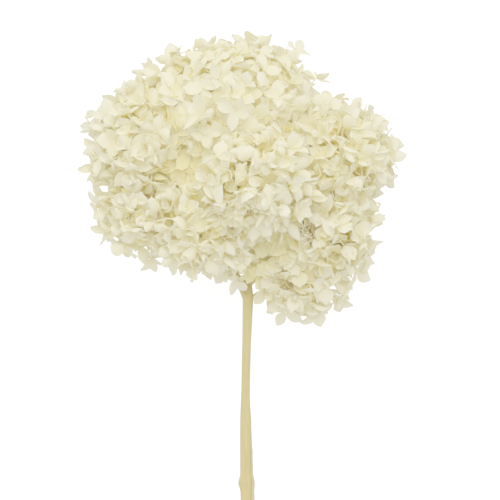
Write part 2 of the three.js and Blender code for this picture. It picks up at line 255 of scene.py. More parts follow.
def tube_skin(paths: Array, radii: Array, sides: int) -> Skin:
    """Closed round tubes: circles square to each path, and a point that closes each end.

    Args:
        paths: Points of the centre lines, (tubes, steps, 3).
        radii: Radius at each point, (tubes, steps).
        sides: Vertices round each circle.

    Returns:
        The skin, with the attribute "grain", a place that runs round and along the tube.
    """
    tubes = len(paths)
    along = unit(np.gradient(paths, axis=1))
    side = square_to(along.mean(axis=1))[:, None, :]
    first = unit(side - (side * along).sum(-1, keepdims=True) * along)
    second = np.cross(along, first)
    angle = np.arange(sides) * 2 * math.pi / sides
    round_first = first[:, :, None, :] * np.cos(angle)[:, None]
    round_second = second[:, :, None, :] * np.sin(angle)[:, None]
    circles = radii[:, :, None, None] * (round_first + round_second)
    skin = capped_rings(paths[:, :, None, :] + circles)
    lengths = np.linalg.norm(np.diff(paths, axis=1), axis=-1).cumsum(axis=1)
    run = np.concatenate([np.zeros((tubes, 1)), lengths], axis=1)
    grain = np.stack(np.broadcast_arrays(
        np.cos(angle)[None, None, :], np.sin(angle)[None, None, :], run[:, :, None]), axis=-1)
    pole_grain = np.zeros((tubes, 2, 3))
    pole_grain[:, 1, 2] = run[:, -1]
    skin.values["grain"] = flattened(grain, pole_grain)
    return skin


# ------------------------------------------------------------------ the flower's frame


@dataclass(frozen=True)
class StemSizes:
    """Sizes of the stem, measured down and up from the fork."""

    length: float = 167 * MM
    radius: float = 3.1 * MM
    neck_radius: float = 2.6 * MM
    fork_radius: float = 3.2 * MM
    neck: Span = (28 * MM, 52 * MM)
    bow: float = 1.6 * MM
    cut_slope: float = 0.5
    rachis_length: float = 40 * MM
    rachis_base_radius: float = 2.1 * MM
    rachis_tip_radius: float = 1.4 * MM
    fork_taper: float = 9 * MM
    low_bark: float = 1.5  # where the lower radius begins, as a multiple of the neck's end
    leaf_nodes: tuple[Span, ...] = ((111.5 * MM, 0.4 * MM), (140 * MM, 0.8 * MM))
    leaf_node_half: float = 6 * MM

    def sideways(self, height: Array) -> Array:
        """Bow of the axis to the left: four s times one less s, s the share of the way down."""
        share = np.clip(-height / self.length, 0, 1)
        return -self.bow * 4 * share * (1 - share)

    def radius_at(self, height: Array) -> Array:
        """Radius of the stem at a height.

        Below the fork it narrows in a line to the neck and eases out to the lower radius, with a
        rounded swelling at each leaf node. Above, it narrows to the base and the tip of the rachis.

        Args:
            height: Heights above the fork.

        Returns:
            The radius at each height.
        """
        neck_top, neck_bottom = self.neck
        upper = blended(self.fork_radius, self.neck_radius, np.clip(-height / neck_top, 0, 1))
        widened = eased(-height, neck_bottom, neck_bottom * self.low_bark)
        lower = blended(upper, self.radius, widened)
        swollen = [
            size * np.clip(1 - ((height + down) / self.leaf_node_half) ** 2, 0, 1) ** 2
            for down, size in self.leaf_nodes
        ]
        below = lower + np.sum(swollen, axis=0)
        heights = [0, self.fork_taper, self.rachis_length]
        radii = [self.fork_radius, self.rachis_base_radius, self.rachis_tip_radius]
        return np.where(height < 0, below, np.interp(height, heights, radii))


@dataclass(frozen=True)
class FlowerFrame:
    """Turns points of the upright flower into the row's frame, where it lies on its back."""

    tilt: float
    fork: Array
    press_depth: float = 6 * MM
    floor_gap: float = 0.1 * MM

    @classmethod
    def from_stem(cls, stem: StemSizes) -> "FlowerFrame":
        """Reads the tilt and the fork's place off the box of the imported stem.

        The box is as high as the stem's length times the tilt's sine plus its two end radii times
        the cosine. The fork is the widest place to the right, the cut end the lowest and the
        rachis' tip the furthest along.

        Args:
            stem: Sizes of the stem.

        Returns:
            The frame.
        """
        low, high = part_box("main_stem")
        length = stem.length + stem.rachis_length
        radii = stem.radius + stem.rachis_tip_radius
        tilt = math.asin((high.z - low.z) / math.hypot(length, radii)) - math.atan2(radii, length)
        sine, cosine = math.sin(tilt), math.cos(tilt)
        fork = np.array([
            high.x - stem.fork_radius,
            high.y - stem.rachis_tip_radius * sine - stem.rachis_length * cosine,
            low.z + stem.radius * cosine + stem.length * sine,
        ])
        return cls(tilt, fork)

    def turn(self, directions: Array) -> Array:
        """Directions of the upright flower, turned about X on to its back."""
        sine, cosine = math.sin(self.tilt), math.cos(self.tilt)
        return directions @ np.array([[1, 0, 0], [0, sine, cosine], [0, -cosine, sine]]).T

    def place(self, points: Array) -> Array:
        """Points of the upright flower in the row's frame."""
        return self.turn(points) + self.fork

    def press(self, skin: Skin) -> Skin:
        """Flattens what would reach the floor.

        Heights above the press depth T stay. Below it a height z becomes T times e to the power
        of z over T less one, which never reaches the floor and keeps the order of heights.

        Args:
            skin: A skin in the row's frame.

        Returns:
            The same skin, with its heights changed.
        """
        depth = self.press_depth
        height = skin.vertices[:, 2]
        low = depth * np.exp(np.minimum(height / depth, 1) - 1) - self.floor_gap
        skin.vertices[:, 2] = np.where(height < depth, np.maximum(low, self.floor_gap), height)
        return skin


# ------------------------------------------------------------------ finishes


class Sheet:
    """A material's nodes, added one by one."""

    def __init__(self, name: str) -> None:
        """Starts a material with only its output node.

        Args:
            name: The material's name.
        """
        self.material = bpy.data.materials.new(name)
        self.material.use_nodes = True
        self.tree = self.material.node_tree
        self.tree.nodes.clear()
        self.output = self.tree.nodes.new("ShaderNodeOutputMaterial")

    def node(self, kind: str, **settings: object) -> bpy.types.Node:
        """A new shader node.

        Args:
            kind: Its type, without the words that all types begin with.
            settings: Values of its properties.

        Returns:
            The node.
        """
        node = self.tree.nodes.new("ShaderNode" + kind)
        for name, value in settings.items():
            setattr(node, name, value)
        return node

    def link(self, source: Socket, target: Socket) -> None:
        """Joins an output to an input."""
        self.tree.links.new(source, target)

    def attribute(self, name: str, output: str = "Fac") -> Socket:
        """The mesh's values under a name."""
        return self.node("Attribute", attribute_name=name).outputs[output]

    def noise(self, vector: Socket, scale: float, detail: float) -> Socket:
        """Soft noise over a place.

        Args:
            vector: The place.
            scale: How fine the noise is.
            detail: How many finer layers it has.

        Returns:
            The noise, from about 0 to 1.
        """
        node = self.node("TexNoise")
        self.link(vector, node.inputs["Vector"])
        node.inputs["Scale"].default_value = scale
        node.inputs["Detail"].default_value = detail
        return node.outputs["Fac"]

    def ranged(self, value: Socket, source: Span,
               target: Span) -> Socket:
        """A value carried in a line from one range to another, and kept inside it.

        Args:
            value: The value.
            source: The range it comes from.
            target: The range it goes to.

        Returns:
            The new value.
        """
        node = self.node("MapRange")
        self.link(value, node.inputs["Value"])
        limits = zip(("From Min", "From Max", "To Min", "To Max"), (*source, *target))
        for name, limit in limits:
            node.inputs[name].default_value = limit
        return node.outputs["Result"]

    def scaled(self, vector: Socket, scale: Triple) -> Socket:
        """A place stretched along its axes.

        Args:
            vector: The place.
            scale: What each of its numbers is multiplied by.

        Returns:
            The stretched place.
        """
        node = self.node("Mapping")
        self.link(vector, node.inputs["Vector"])
        node.inputs["Scale"].default_value = scale
        return node.outputs["Vector"]

    def mixed(self, share: Socket, start: Colour | Socket, end: Colour | Socket) -> Socket:
        """A colour between two: start times one minus the share, plus end times the share.

        Args:
            share: The share of the end colour.
            start: A colour, or another node's output.
            end: A colour, or another node's output.

        Returns:
            The mixed colour.
        """
        node = self.node("Mix", data_type="RGBA")
        self.link(share, node.inputs[0])
        for socket, colour in ((node.inputs[6], start), (node.inputs[7], end)):
            if isinstance(colour, tuple):
                socket.default_value = (*colour, 1)
            else:
                self.link(colour, socket)
        return node.outputs[2]

    def bump(self, height: Socket, strength: float, distance: float) -> Socket:
        """A normal roughened by a height.

        Args:
            height: The height, from 0 to 1.
            strength: The share of the height that counts.
            distance: The height that 1 stands for.

        Returns:
            The normal.
        """
        node = self.node("Bump")
        self.link(height, node.inputs["Height"])
        node.inputs["Strength"].default_value = strength
        node.inputs["Distance"].default_value = distance
        return node.outputs["Normal"]

    def principled(self, colour: Socket, roughness: float, specular: float,
                   normal: Socket | None = None) -> bpy.types.Node:
        """A Principled shader, with its finish set on its own sockets.

        Args:
            colour: Its base colour.
            roughness: Its roughness.
            specular: Its level of mirroring, 0.5 being that of glass.
            normal: Its normal, if it isn't the surface's own.

        Returns:
            The shader's node.
        """
        node = self.node("BsdfPrincipled")
        self.link(colour, node.inputs["Base Color"])
        node.inputs["Roughness"].default_value = roughness
        node.inputs["Specular IOR Level"].default_value = specular
        if normal is not None:
            self.link(normal, node.inputs["Normal"])
        return node

    def finish(self, shader: Socket) -> bpy.types.Material:
        """Ends the material with its surface."""
        self.link(shader, self.output.inputs["Surface"])
        return self.material


@dataclass(frozen=True)
class SepalFinish:
    """Papery, slightly translucent cream: whiter at the tips and yellower at the base, with painted
    shade as a warmer yellow deep in the head and in its creases.
    """

    cream: Colour = (0.975, 0.942, 0.67)
    ivory: Colour = (0.962, 0.936, 0.735)
    painted_shade_yellow: Colour = (0.996, 0.95, 0.46)
    base: Colour = (0.982, 0.942, 0.565)
    see_through: float = 0.46
    roughness: float = 0.7
    specular: float = 0.22
    cloud_scale: float = 45
    cloud_detail: float = 2
    cloud_range: Span = (0.4, 0.75)
    cloud_share: float = 0.18
    base_reach: float = 0.5
    base_share: float = 0.55
    vein_stretch: Triple = (1.2, 9.0, 1.0)
    vein_scale: float = 1.6
    vein_detail: float = 3
    vein_strength: float = 0.45
    vein_height: float = 0.45 * MM

    def material(self) -> bpy.types.Material:
        """The finish as nodes.

        The cream is mixed towards ivory by each sepal's own tint and towards a deeper base colour
        where it starts. The attribute "depth" then mixes it towards a yellow of painted shade, which
        stands in for the shade deep in the head, in its creases and where the lobes keep light out.
        Veins run from the base to the tip as a bump along the UV map.

        Returns:
            The material.
        """
        sheet = Sheet("sepals")
        place = sheet.node("TexCoord").outputs["Object"]
        uv = sheet.node("UVMap", uv_map="UVMap").outputs["UV"]
        colour = sheet.mixed(sheet.attribute("tint"), self.cream, self.ivory)
        clouds = sheet.noise(place, self.cloud_scale, self.cloud_detail)
        cloudy = sheet.ranged(clouds, self.cloud_range, (0, self.cloud_share))
        colour = sheet.mixed(cloudy, colour, self.base)
        near_base = sheet.ranged(
            sheet.attribute("along"), (0, self.base_reach), (self.base_share, 0))
        colour = sheet.mixed(near_base, colour, self.base)
        # painted shade: the yellow of the recesses, by the attribute "depth"
        colour = sheet.mixed(sheet.attribute("depth"), colour, self.painted_shade_yellow)
        drawn_out = sheet.scaled(uv, self.vein_stretch)
        veins = sheet.noise(drawn_out, self.vein_scale, self.vein_detail)
        normal = sheet.bump(veins, self.vein_strength, self.vein_height)
        solid = sheet.principled(colour, self.roughness, self.specular, normal)
        thin = sheet.node("BsdfTranslucent")
        sheet.link(colour, thin.inputs["Color"])
        sheet.link(normal, thin.inputs["Normal"])
        blend = sheet.node("MixShader")
        blend.inputs[0].default_value = self.see_through
        sheet.link(solid.outputs["BSDF"], blend.inputs[1])
        sheet.link(thin.outputs["BSDF"], blend.inputs[2])
        return sheet.finish(blend.outputs["Shader"])


@dataclass(frozen=True)
class Streaks:
    """Streaks of two colours along the grain: fine and broad noise, drawn out along it."""

    fine_stretch: Triple = (2.2, 2.2, 40)
    fine_scale: float = 1.6
    fine_detail: float = 5
    fine_range: Span = (0.35, 0.68)
    broad_stretch: Triple = (0.8, 0.8, 90)
    broad_scale: float = 1.0
    broad_detail: float = 2
    broad_range: Span = (0.4, 0.7)
    broad_share: float = 0.6

    def laid(self, sheet: Sheet, light: Colour, dark: Colour) -> tuple[Socket, Socket]:
        """Puts the streaks on a sheet.

        The fine noise mixes the light towards the dark, and the broad noise mixes that back
        towards the light.

        Args:
            sheet: The sheet.
            light: The light colour.
            dark: The dark colour.

        Returns:
            The streaked colour and the fine noise.
        """
        grain = sheet.attribute("grain", "Vector")
        drawn_out = sheet.scaled(grain, self.fine_stretch)
        fine = sheet.noise(drawn_out, self.fine_scale, self.fine_detail)
        drawn_far_out = sheet.scaled(grain, self.broad_stretch)
        broad = sheet.noise(drawn_far_out, self.broad_scale, self.broad_detail)
        colour = sheet.mixed(sheet.ranged(fine, self.fine_range, (0, 1)), light, dark)
        lightened = sheet.ranged(broad, self.broad_range, (0, self.broad_share))
        return sheet.mixed(lightened, colour, light), fine


@dataclass(frozen=True)
class StalkFinish:
    """Dry, pale plant stalk: a light and a dark straw in streaks along the grain."""

    name: str
    light: Colour
    dark: Colour
    streaks: Streaks = Streaks()
    roughness: float = 0.72
    specular: float = 0.25
    relief_strength: float = 0.5
    relief: float = 0.4 * MM

    def material(self) -> bpy.types.Material:
        """The finish as nodes: streaks along the grain, in colour and bump.

        Returns:
            The material.
        """
        sheet = Sheet(self.name)
        colour, fine = self.streaks.laid(sheet, self.light, self.dark)
        normal = sheet.bump(fine, self.relief_strength, self.relief)
        solid = sheet.principled(colour, self.roughness, self.specular, normal)
        return sheet.finish(solid.outputs["BSDF"])


@dataclass(frozen=True)
class StemFinish:
    """Bark of the stem, brown at its leaf scars and nodes and near the fork, with a pale, pithy cut
    face.
    """

    light: Colour = (0.56, 0.405, 0.082)
    dark: Colour = (0.39, 0.285, 0.058)
    brown: Colour = (0.27, 0.17, 0.05)
    pith: Colour = (0.80, 0.74, 0.52)
    streaks: Streaks = Streaks(
        fine_stretch=(2.6, 2.6, 34), fine_scale=1.7, fine_detail=6, fine_range=(0.38, 0.66),
        broad_stretch=(0.7, 0.7, 30), broad_range=(0.42, 0.7), broad_share=0.7)
    roughness: float = 0.68
    specular: float = 0.28
    relief_strength: float = 0.55
    relief: float = 0.4 * MM

    def material(self) -> bpy.types.Material:
        """The finish as nodes.

        Streaks along the grain go from the light to the dark straw. The attributes "stain" and
        "cut" bring in the brown and the pith.

        Returns:
            The material.
        """
        sheet = Sheet("stem")
        colour, fine = self.streaks.laid(sheet, self.light, self.dark)
        colour = sheet.mixed(sheet.attribute("stain"), colour, self.brown)
        colour = sheet.mixed(sheet.attribute("cut"), colour, self.pith)
        normal = sheet.bump(fine, self.relief_strength, self.relief)
        solid = sheet.principled(colour, self.roughness, self.specular, normal)
        return sheet.finish(solid.outputs["BSDF"])


@dataclass(frozen=True)
class BeadFinish:
    """Dry beads in the middles of the florets, straw with browner clouds."""

    straw: Colour = (0.92, 0.82, 0.42)
    brown: Colour = (0.72, 0.55, 0.24)
    roughness: float = 0.75
    specular: float = 0.2
    cloud_scale: float = 700
    cloud_detail: float = 3
    cloud_range: Span = (0.45, 0.75)
    cloud_share: float = 0.8
    relief_strength: float = 0.3
    relief: float = 0.3 * MM

    def material(self) -> bpy.types.Material:
        """The finish as nodes: noise over the place mixes the two colours and roughens them.

        Returns:
            The material.
        """
        sheet = Sheet("buttons")
        place = sheet.node("TexCoord").outputs["Object"]
        clouds = sheet.noise(place, self.cloud_scale, self.cloud_detail)
        cloudy = sheet.ranged(clouds, self.cloud_range, (0, self.cloud_share))
        colour = sheet.mixed(cloudy, self.straw, self.brown)
        normal = sheet.bump(clouds, self.relief_strength, self.relief)
        solid = sheet.principled(colour, self.roughness, self.specular, normal)
        return sheet.finish(solid.outputs["BSDF"])


# ------------------------------------------------------------------ sepals


@dataclass
class SepalForms:
    """The form of each of many sepals, one number per sepal in each array."""

    length: Array
    half_width: Array
    lift: Array
    curl: Array
    roll: Array
    twist: Array
    sway: Array
    ripple: Array
    phase: Array
    turn: Array
    seat: Array


@dataclass(frozen=True)
class SepalGrid:
    """The grid that a sepal is worked out on, and its thickness in the middle."""

    rows: int = 6
    columns: int = 5
    thickness: float = 0.35 * MM
    claw: float = 0.6 * MM
    point: float = 0.14
    ripple_turn: float = 7.0

    def along(self) -> Array:
        """Shares of the way to the tip, closer together where the tip is round."""
        return np.sin(np.linspace(0, math.pi / 2, self.rows))

    def across(self) -> Array:
        """Shares of the way across, from the right edge, -1, to the left edge, 1."""
        return np.linspace(-1, 1, self.columns)

    def inner(self) -> Array:
        """Which vertices of the grid lie inside its rim.

        Returns:
            A mask over the grid's vertices.
        """
        inside = np.zeros((self.rows, self.columns), bool)
        inside[1:-1, 1:-1] = True
        return inside.ravel()

    def faces(self) -> Array:
        """Cells of the upper side, then those of the under side, which share the rim.

        Returns:
            An (n, 4) array of vertex numbers.
        """
        upper = grid_quads(self.rows, self.columns, wraps=False)
        inner = self.inner()
        below = np.arange(self.rows * self.columns)
        below[inner] = self.rows * self.columns + np.arange(inner.sum())
        return np.concatenate([upper, below[upper][:, ::-1]])

    def surface(self, forms: SepalForms) -> Array:
        """Upper side of each sepal, in its floret's own frame.

        The midrib is an arc that starts at an angle, the lift, and turns by the curl on its way
        to the tip. The width follows (u + 0.03)^0.6 (1.02 - u)^0.5, u being the way to the tip.
        Across it the sepal is an arc too, whose angle grows from nothing at the midrib to the
        roll at the edge. It twists about the midrib, sways to one side by the square of u, and
        its edges ripple.

        Args:
            forms: The sepals' forms.

        Returns:
            Points in an array (sepals, rows, columns, 3).
        """
        def each(values: Array) -> Array:
            """One number per sepal, made to spread over the grid."""
            return values[:, None, None]

        u = self.along()[None, :, None]
        v = self.across()[None, None, :]
        reach = u + self.point * (1 - v**2) * u**6
        lift, curl = each(forms.lift), each(forms.curl)
        middle = lift + curl * reach / 2
        chord = each(forms.length) * reach * np.sinc(curl * reach / (2 * math.pi))
        outward = self.claw + chord * np.cos(middle)
        upward = each(forms.seat) + chord * np.sin(middle)
        profile = (u + 0.03) ** 0.6 * (1.02 - u) ** 0.5
        width = each(forms.half_width) * v * profile / profile.max()
        half_angle = each(forms.roll) * v / 2
        fold = np.sinc(half_angle / math.pi) * width
        leftward = fold * np.cos(half_angle)
        risen = fold * np.sin(half_angle)
        wave = np.sin(self.ripple_turn * u + each(forms.phase))
        risen = risen + each(forms.ripple) * wave * v * np.abs(v)
        twist = each(forms.twist) * u
        left = leftward * np.cos(twist) - risen * np.sin(twist)
        risen = leftward * np.sin(twist) + risen * np.cos(twist)
        slope = lift + curl * reach
        radial = outward - risen * np.sin(slope)
        height = upward + risen * np.cos(slope)
        left = left + each(forms.sway) * each(forms.length) * u**2
        cosine, sine = np.cos(each(forms.turn)), np.sin(each(forms.turn))
        x = radial * cosine - left * sine
        y = radial * sine + left * cosine
        return np.stack(np.broadcast_arrays(x, y, height), axis=-1)

    def skin(self, upper: Array, tint: Array) -> Skin:
        """Closed sepals, their under side a thickness below the upper one inside the rim.

        Args:
            upper: Points of the upper sides in place, (sepals, rows, columns, 3).
            tint: Each sepal's own tint, from 0 to 1.

        Returns:
            The skin, with its UV map and the attributes "tint" and "along".
        """
        sepals = len(upper)
        normal = unit(np.cross(np.gradient(upper, axis=1), np.gradient(upper, axis=2)))
        cells = self.rows * self.columns
        inner = self.inner()
        top = upper.reshape(sepals, cells, 3)
        under = (top - self.thickness * normal.reshape(sepals, cells, 3))[:, inner]
        per_sepal = cells + int(inner.sum())
        offsets = (np.arange(sepals) * per_sepal)[:, None, None]
        u, v = np.meshgrid(self.along(), self.across() / 2 + 0.5, indexing="ij")
        uv = np.stack([u.ravel(), v.ravel()], axis=-1)
        uv = np.concatenate([uv, uv[inner]])
        rim = np.concatenate([~inner, np.zeros(int(inner.sum()), bool)])
        return Skin(
            vertices=np.concatenate([top, under], axis=1).reshape(-1, 3),
            quads=(self.faces()[None] + offsets).reshape(-1, 4),
            uv=np.tile(uv, (sepals, 1)),
            edge=np.tile(rim, sepals),
            values={
                "tint": np.repeat(tint, per_sepal),
                "along": np.tile(uv[:, 0], sepals),
            },
        )


# ------------------------------------------------------------------ florets


@dataclass(frozen=True)
class LayerSize:
    """Where a layer of florets stands, and how its florets vary."""

    inset: float
    spacing: float
    unevenness: float
    lean: float


class Layer(Enum):
    """Layers of florets, from the outside of a lobe inwards."""

    OUTER = LayerSize(inset=5.2 * MM, spacing=9.0 * MM, unevenness=2.4 * MM, lean=0.42)
    MIDDLE = LayerSize(inset=9.0 * MM, spacing=10.0 * MM, unevenness=1.8 * MM, lean=0.5)
    INNER = LayerSize(inset=12.5 * MM, spacing=10.5 * MM, unevenness=1.8 * MM, lean=0.5)


@dataclass(frozen=True)
class Lobe:
    """One rounded lobe of the head, at the end of a ray. Its lengths are millimetres."""

    name: str
    hub: Triple
    radius: float
    leaves: float
    clusters: int
    crumple: float
    droop: float = 0.0
    tuck: float = 0.0


LOBES: tuple[Lobe, ...] = (
    Lobe("crown", (-8, 4, 104), 52, 36, 4, 0.28, droop=0.0, tuck=0.5),
    Lobe("upper_left", (-38, -2, 111), 34, 31, 2, 0.38, droop=0.1, tuck=0.5),
    Lobe("far_left", (-58, -6, 90), 36, 20, 3, 0.5, droop=0.3, tuck=0.5),
    Lobe("left", (-64, -8, 52), 30, 9, 2, 0.65, droop=0.45, tuck=4),
    Lobe("lower_left", (-26, -22, 44), 34, -3, 3, 0.9, droop=0.7, tuck=2),
    Lobe("front", (4, -38, 68), 38, 12, 4, 0.9, droop=0.6, tuck=4),
    Lobe("right", (50, -8, 82), 37, 24, 3, 0.65, droop=0.35, tuck=1.5),
    Lobe("lower_right", (46, -8, 42), 31, 9, 2, 0.75, droop=0.5),
    Lobe("drooping", (33, 0, 14), 27, 0, 2, 0.7, droop=0.3, tuck=1),
    Lobe("back_left", (-30, 34, 66), 40, 16, 3, 0.55, droop=0.2),
    Lobe("back_right", (28, 36, 64), 40, 18, 3, 0.55, droop=0.2),
)


@dataclass(frozen=True)
class Hollow:
    """A round place in the head, in millimetres: a pit without outer florets, or a crease whose
    sepals get painted shade.
    """

    place: Triple
    radius: float


HOLLOWS: tuple[Hollow, ...] = (
    Hollow((-46, -28, 76), 12.0),
    Hollow((-34, -31, 76), 13.5),
    Hollow((-23, -34, 75), 10.5),
    Hollow((31, -30, 36), 8.5),
    Hollow((37, -28, 51), 7.5),
    Hollow((43, -33, 64), 6.0),
)

# Creases between lobes where the sepals get painted shade, a warm yellow.
SHADED_CREASES: tuple[Hollow, ...] = (
    Hollow((14, -17, 31), 15),
    Hollow((25, -22, 38), 11),
    Hollow((-36, -24, 76), 14),
    Hollow((2, -14, 14), 8),
)


@dataclass(frozen=True)
class Stray:
    """A floret off the round of its lobe, or hanging from it. Its place is in millimetres."""

    node: str
    place: Triple
    facing: Triple
    size: float
    crumple: float


STRAYS: tuple[Stray, ...] = (
    Stray("crown_florets_1", (29, -3, 147), (0.5, -0.5, 0.7), 0.8, 0.3),
    Stray("upper_left_florets_1", (-45, -4, 147), (-0.6, 0.2, 0.6), 0.85, 0.9),
    Stray("right_florets_1", (69, -6, 108), (0.8, 0.1, 0.4), 0.85, 0.9),
    Stray("left_florets_1", (-50, -21, 74), (0.1, -1.0, 0.1), 1.1, 0.15),
    Stray("left_florets_1", (-42, -23, 79), (0.0, -1.0, 0.1), 1.15, 0.1),
    Stray("left_florets_1", (-43, -23, 69), (0.1, -1.0, 0.2), 1.1, 0.1),
    Stray("front_florets_1", (-34, -24, 75), (-0.1, -1.0, 0.1), 1.15, 0.1),
    Stray("front_florets_1", (-34, -25, 83), (0.0, -1.0, -0.2), 1.1, 0.15),
    Stray("front_florets_1", (-26, -27, 70), (-0.2, -1.0, 0.2), 1.1, 0.1),
    Stray("front_florets_1", (-25, -27, 79), (-0.1, -1.0, 0.0), 1.15, 0.1),
    Stray("front_florets_2", (11, -21, 32), (0.1, -1.0, 0.2), 1.15, 0.15),
    Stray("drooping_florets_1", (16, -18, 25), (0.0, -1.0, 0.1), 1.15, 0.15),
    Stray("front_florets_2", (20, -19, 35), (0.0, -1.0, 0.1), 1.15, 0.15),
    Stray("drooping_florets_1", (25, -20, 28), (-0.1, -1.0, 0.1), 1.1, 0.2),
    Stray("crown_florets_1", (41, 0, 131), (0.6, -0.3, 0.7), 0.9, 0.5),
    Stray("far_left_florets_1", (-89, -6, 109), (-0.7, -0.4, 0.5), 0.95, 0.6),
    Stray("far_left_florets_1", (-92, -6, 101), (-0.9, -0.3, 0.1), 0.9, 0.6),
    Stray("far_left_florets_1", (-90, -8, 77), (-0.9, -0.5, 0.1), 1.0, 0.4),
    Stray("left_florets_1", (-90, -8, 70), (-0.9, -0.5, -0.2), 1.0, 0.5),
    Stray("left_florets_1", (-90, -8, 55), (-0.9, -0.4, -0.2), 1.0, 0.5),
    Stray("left_florets_1", (-57, -8, 24), (-0.2, -0.5, -0.9), 0.9, 0.6),
    Stray("lower_left_florets_1", (-7, -13, 16), (-0.5, -0.8, -0.3), 0.9, 0.5),
    Stray("lower_left_florets_1", (-6, -12, 10), (-0.2, -0.9, -0.4), 0.85, 0.5),
    Stray("drooping_florets_1", (3, -11, 19), (0.2, -1.0, -0.2), 1.0, 0.3),
    Stray("drooping_florets_1", (10, -11, 12), (0.3, -1.0, -0.3), 1.0, 0.3),
    Stray("lower_left_florets_1", (-15, -14, 17), (-0.5, -0.8, -0.5), 1.0, 0.6),
    Stray("front_florets_1", (7, -15, 20), (0.3, -1.0, -0.3), 1.0, 0.5),
    Stray("front_florets_1", (-3, -16, 25), (-0.2, -1.0, -0.2), 1.0, 0.6),
    Stray("drooping_florets_1", (14, -15, 13), (0.3, -1.0, -0.1), 1.0, 0.6),
    Stray("drooping_florets_1", (10, -9, 5), (0.4, -0.8, -0.5), 0.95, 0.5),
    Stray("drooping_florets_1", (18, -11, 0), (0.2, -0.8, -0.6), 1.0, 0.4),
    Stray("drooping_florets_1", (22, -3, -9), (-0.3, -0.6, -0.7), 0.95, 0.5),
    Stray("drooping_florets_2", (42, -3, -9), (0.2, -0.6, -0.8), 0.95, 0.5),
    Stray("drooping_florets_2", (53, -4, -1), (0.6, -0.5, -0.6), 0.95, 0.5),
    Stray("lower_right_florets_1", (70, -5, 24), (0.9, -0.4, -0.3), 0.95, 0.5),
    Stray("lower_right_florets_1", (65, -5, 15), (0.7, -0.5, -0.5), 0.95, 0.6),
)


@dataclass
class Florets:
    """Places and forms of many florets, one row or number per floret in each array."""

    centre: Array
    facing: Array
    cluster: Array
    size: Array
    crumple: Array

    @classmethod
    def joined(cls, groups: list["Florets"]) -> "Florets":
        """All the florets of several groups."""
        names = ("centre", "facing", "cluster", "size", "crumple")
        return cls(*(np.concatenate([getattr(group, name) for group in groups]) for name in names))

    def chosen(self, which: Array) -> "Florets":
        """The florets that a mask or a list of numbers picks out."""
        return Florets(self.centre[which], self.facing[which], self.cluster[which],
                       self.size[which], self.crumple[which])


@dataclass(frozen=True)
class Habit:
    """How sepals vary with the crumpling of their floret. Angles are radians.

    Of two numbers, the first is for a flat floret and the second is what a full crumple adds,
    but a range is from its least to its most.
    """

    counts: tuple[int, ...] = (3, 4, 4, 4, 4, 4, 5)
    length: float = 9.4 * MM
    length_spread: float = 0.1
    length_range: Span = (0.7, 1.25)
    half_width: float = 4.1 * MM
    width_spread: float = 0.13
    width_range: Span = (0.6, 1.3)
    lift: Span = (0.14, 0.68)
    floret_lift_spread: Span = (0.10, 0.22)
    lift_spread: Span = (0.12, 0.3)
    lift_range: Span = (-0.35, 1.45)
    curl: float = -0.35
    curl_spread: Span = (0.35, 0.65)
    roll: float = 0.25
    roll_spread: Span = (0.45, 0.75)
    twist_spread: Span = (0.10, 0.35)
    sway_spread: Span = (0.05, 0.08)
    ripple: Span = (0.25, 0.45)
    turn_spread: float = 0.1
    step: float = 0.45 * MM

    def forms(self, florets: Florets, rng: np.random.Generator) -> tuple[SepalForms, Array]:
        """Forms of all the sepals of some florets.

        A floret has four sepals, now and then three or five. They stand evenly round it, every
        other one a step higher. The more crumpled a floret, the more its sepals lift, roll,
        curl and twist. The ripple is worked out in millimetres.

        Args:
            florets: The florets.
            rng: Source of the random numbers.

        Returns:
            The forms, and the number of each sepal's floret.
        """
        counts = rng.choice(self.counts, len(florets.size))
        owner = np.repeat(np.arange(len(counts)), counts)
        place = np.arange(len(owner)) - np.repeat(np.cumsum(counts) - counts, counts)
        total = len(owner)
        crumple = florets.crumple[owner]
        scale = florets.size[owner]

        def crumpled(pair: Span) -> Array:
            """The first number plus the crumple times the second, for each sepal."""
            return pair[0] + pair[1] * crumple

        openness = np.repeat(rng.normal(0, 1, len(counts)), counts)
        spin = np.repeat(rng.uniform(0, 2 * math.pi, len(counts)), counts)
        lift = crumpled(self.lift) + crumpled(self.floret_lift_spread) * openness
        lift = lift + rng.normal(0, crumpled(self.lift_spread), total)
        length = np.clip(rng.normal(1, self.length_spread, total), *self.length_range)
        width = np.clip(rng.normal(1, self.width_spread, total), *self.width_range)
        forms = SepalForms(
            length=self.length * scale * length,
            half_width=self.half_width * scale * width,
            lift=np.clip(lift, *self.lift_range),
            curl=rng.normal(self.curl, crumpled(self.curl_spread), total),
            roll=rng.normal(self.roll, crumpled(self.roll_spread), total),
            twist=rng.normal(0, crumpled(self.twist_spread), total),
            sway=rng.normal(0, crumpled(self.sway_spread), total),
            ripple=rng.normal(0, 1, total) * crumpled(self.ripple) * MM,
            phase=rng.uniform(0, 2 * math.pi, total),
            turn=spin + place * 2 * math.pi / counts[owner] + rng.normal(0, self.turn_spread, total),
            seat=(place % 2) * self.step,
        )
        return forms, owner


